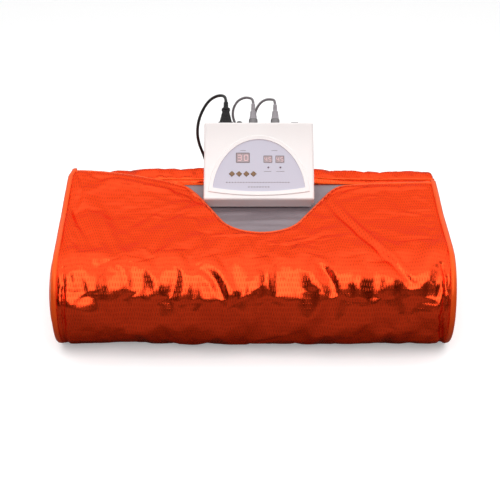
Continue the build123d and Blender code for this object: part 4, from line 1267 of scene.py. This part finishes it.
# %% Frames and digits of the displays
PRINT_THICK = 0.00012
BARS_LIT = {"3": "abcdg", "0": "abcdef", "4": "bcfg", "5": "acdfg"}
BAR_PLACES = {"a": (0, 1, 0), "g": (0, 0, 0), "d": (0, -1, 0), "f": (-1, 0.5, 1), "b": (1, 0.5, 1),
              "e": (-1, -0.5, 1), "c": (1, -0.5, 1)}
BAR_LONG, BAR_GAP = 0.004, 0.0004
membrane_top = box_on_face("membrane_overlay")[1][2]
for display, shown, border in (("time_display", "30", 0.0015), ("upper_zone_display", "45", 0.0011),
                               ("lower_zone_display", "45", 0.0011)):
    (left, bottom, _), (right, top, window_top) = box_on_face(display)
    middle_x, middle_up, wide, high = (left + right) / 2, (bottom + top) / 2, right - left, top - bottom
    rim_thick = max(window_top - membrane_top, 0) + 2 * PRINT_THICK
    rim = plate(display + "_frame", wide + border, high + border, rim_thick, border)
    rim = joined_copies(rim, [(middle_x, middle_up, membrane_top, 0, 1)])
    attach(dress(rim, "printed_ink"), "controller")
    half, tall = wide * 0.135, high * 0.28
    places = []
    for digit, text in enumerate(shown):
        for across, up, upright in (BAR_PLACES[bar] for bar in BARS_LIT[text]):
            x = middle_x + (digit - 0.5) * wide / 2 + across * half
            long = (tall if upright else 2 * half) - BAR_GAP
            places.append((x, middle_up + up * tall, window_top, pi / 2 * upright, long / BAR_LONG))
    bar = plate(display + "_digits", BAR_LONG, wide * 0.055, PRINT_THICK)
    bar = joined_copies(bar, places)
    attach(dress(bar, "lit_segment"), "controller")
print("membrane at", round(membrane_top, 4), "windows at", round(window_top, 4))

# %% Printed dashes and rules
DASH_STEP, RULE_LONG = 6, 0.010
dashes = [((start + DASH_STEP * k) * MM, up, membrane_top, 0, 1)
          for start, up, count in ((-68.4, 0.038, 23), (-21.4, 0.0276, 8)) for k in range(count)]
dash_row = joined_copies(plate("printed_dashes", 0.0032, 0.0021, PRINT_THICK / 2), dashes)
rules = [(x, up, membrane_top, 0, long / RULE_LONG) for x, up, long in (
    (0.019, 0.063, 0.016), (0.046, 0.063, 0.018), (-0.0338, 0.111, 0.0115), (0.0335, 0.111, 0.013))]
rule_row = joined_copies(plate("printed_rules", RULE_LONG, 0.0009, PRINT_THICK / 2), rules)
for row in (dash_row, rule_row):
    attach(dress(row, "printed_ink"), "controller")

# %% [markdown]
# ## The lengths of the cords
# Each lead's real length is what its line measures. The mains lead's wall plug and tie are not made here.

# %% [markdown]
# ## The studio
# A plain pale floor, and a wide softbox overhead and in front. The satin shows what it reflects: the
# softbox on the shoulder of the front roll, and a darker floor and room below it. So the floor is pale
# for the camera, and muted for everything that it lights.

# %% Floor
bpy.ops.mesh.primitive_plane_add(size=14)
ground = bpy.context.object
ground.name = "floor"
paint = plain_finish("floor_pale", Base_Color=(0.80, 0.80, 0.80, 1), Roughness=0.9, Specular_IOR_Level=0.0,
                     Emission_Color=(1, 1, 1, 1), Emission_Strength=0.30)
tree = paint.node_tree
muted = add_node(tree, "ShaderNodeBsdfDiffuse", {"Color": (0.20, 0.18, 0.18, 1)})
looked_at, either = tree.nodes.new("ShaderNodeLightPath"), tree.nodes.new("ShaderNodeMixShader")
tree.links.new(looked_at.outputs["Is Camera Ray"], either.inputs[0])
tree.links.new(muted.outputs[0], either.inputs[1])
tree.links.new(tree.nodes["Principled BSDF"].outputs[0], either.inputs[2])
tree.links.new(either.outputs[0], tree.nodes["Material Output"].inputs[0])
ground.data.materials.append(paint)

# %% Softbox
bpy.ops.object.light_add(type="AREA", location=(0, -2.2, 2.3))
softbox = bpy.context.object
softbox.name = "overhead_softbox"
softbox.data.shape, softbox.data.energy = "RECTANGLE", 116
softbox.data.size, softbox.data.size_y = 3.4, 3.3

# %% [markdown]
# The room is dark on the camera's side, brightest just past overhead and fairly bright behind the
# blanket. It shows only in what the satin reflects, because the camera itself sees plain white.

# %% Room
world = bpy.data.worlds.new("studio")
bpy.context.scene.world = world
world.use_nodes = True
tree = world.node_tree
background = tree.nodes["Background"]
direction, split = tree.nodes.new("ShaderNodeTexCoord"), tree.nodes.new("ShaderNodeSeparateXYZ")
tree.links.new(direction.outputs["Generated"], split.inputs[0])
behind = tree.nodes.new("ShaderNodeFloatCurve")
behind.mapping.use_clip = False
levels = behind.mapping.curves[0].points
levels[0].location, levels[1].location = (0.0, 0.012), (1.0, 0.27)
for at, level in ((0.40, 0.012), (0.47, 0.20), (0.54, 0.50), (0.66, 0.42), (0.80, 0.33), (0.92, 0.29)):
    levels.new(at, level)
behind.mapping.update()
half_way = math_node(tree, "MULTIPLY_ADD", split.outputs["Y"], 0.5)
half_way.node.inputs[2].default_value = 0.5
tree.links.new(half_way, behind.inputs["Value"])
room = math_node(tree, "MULTIPLY", behind.outputs[0], 3.45)
seen = tree.nodes.new("ShaderNodeLightPath")
plain = tree.nodes.new("ShaderNodeMix")
tree.links.new(seen.outputs["Is Camera Ray"], plain.inputs[0])
tree.links.new(room, plain.inputs[2])
plain.inputs[3].default_value = 1.0
tree.links.new(plain.outputs[0], background.inputs["Strength"])
background.inputs["Color"].default_value = (1, 1, 1, 1)
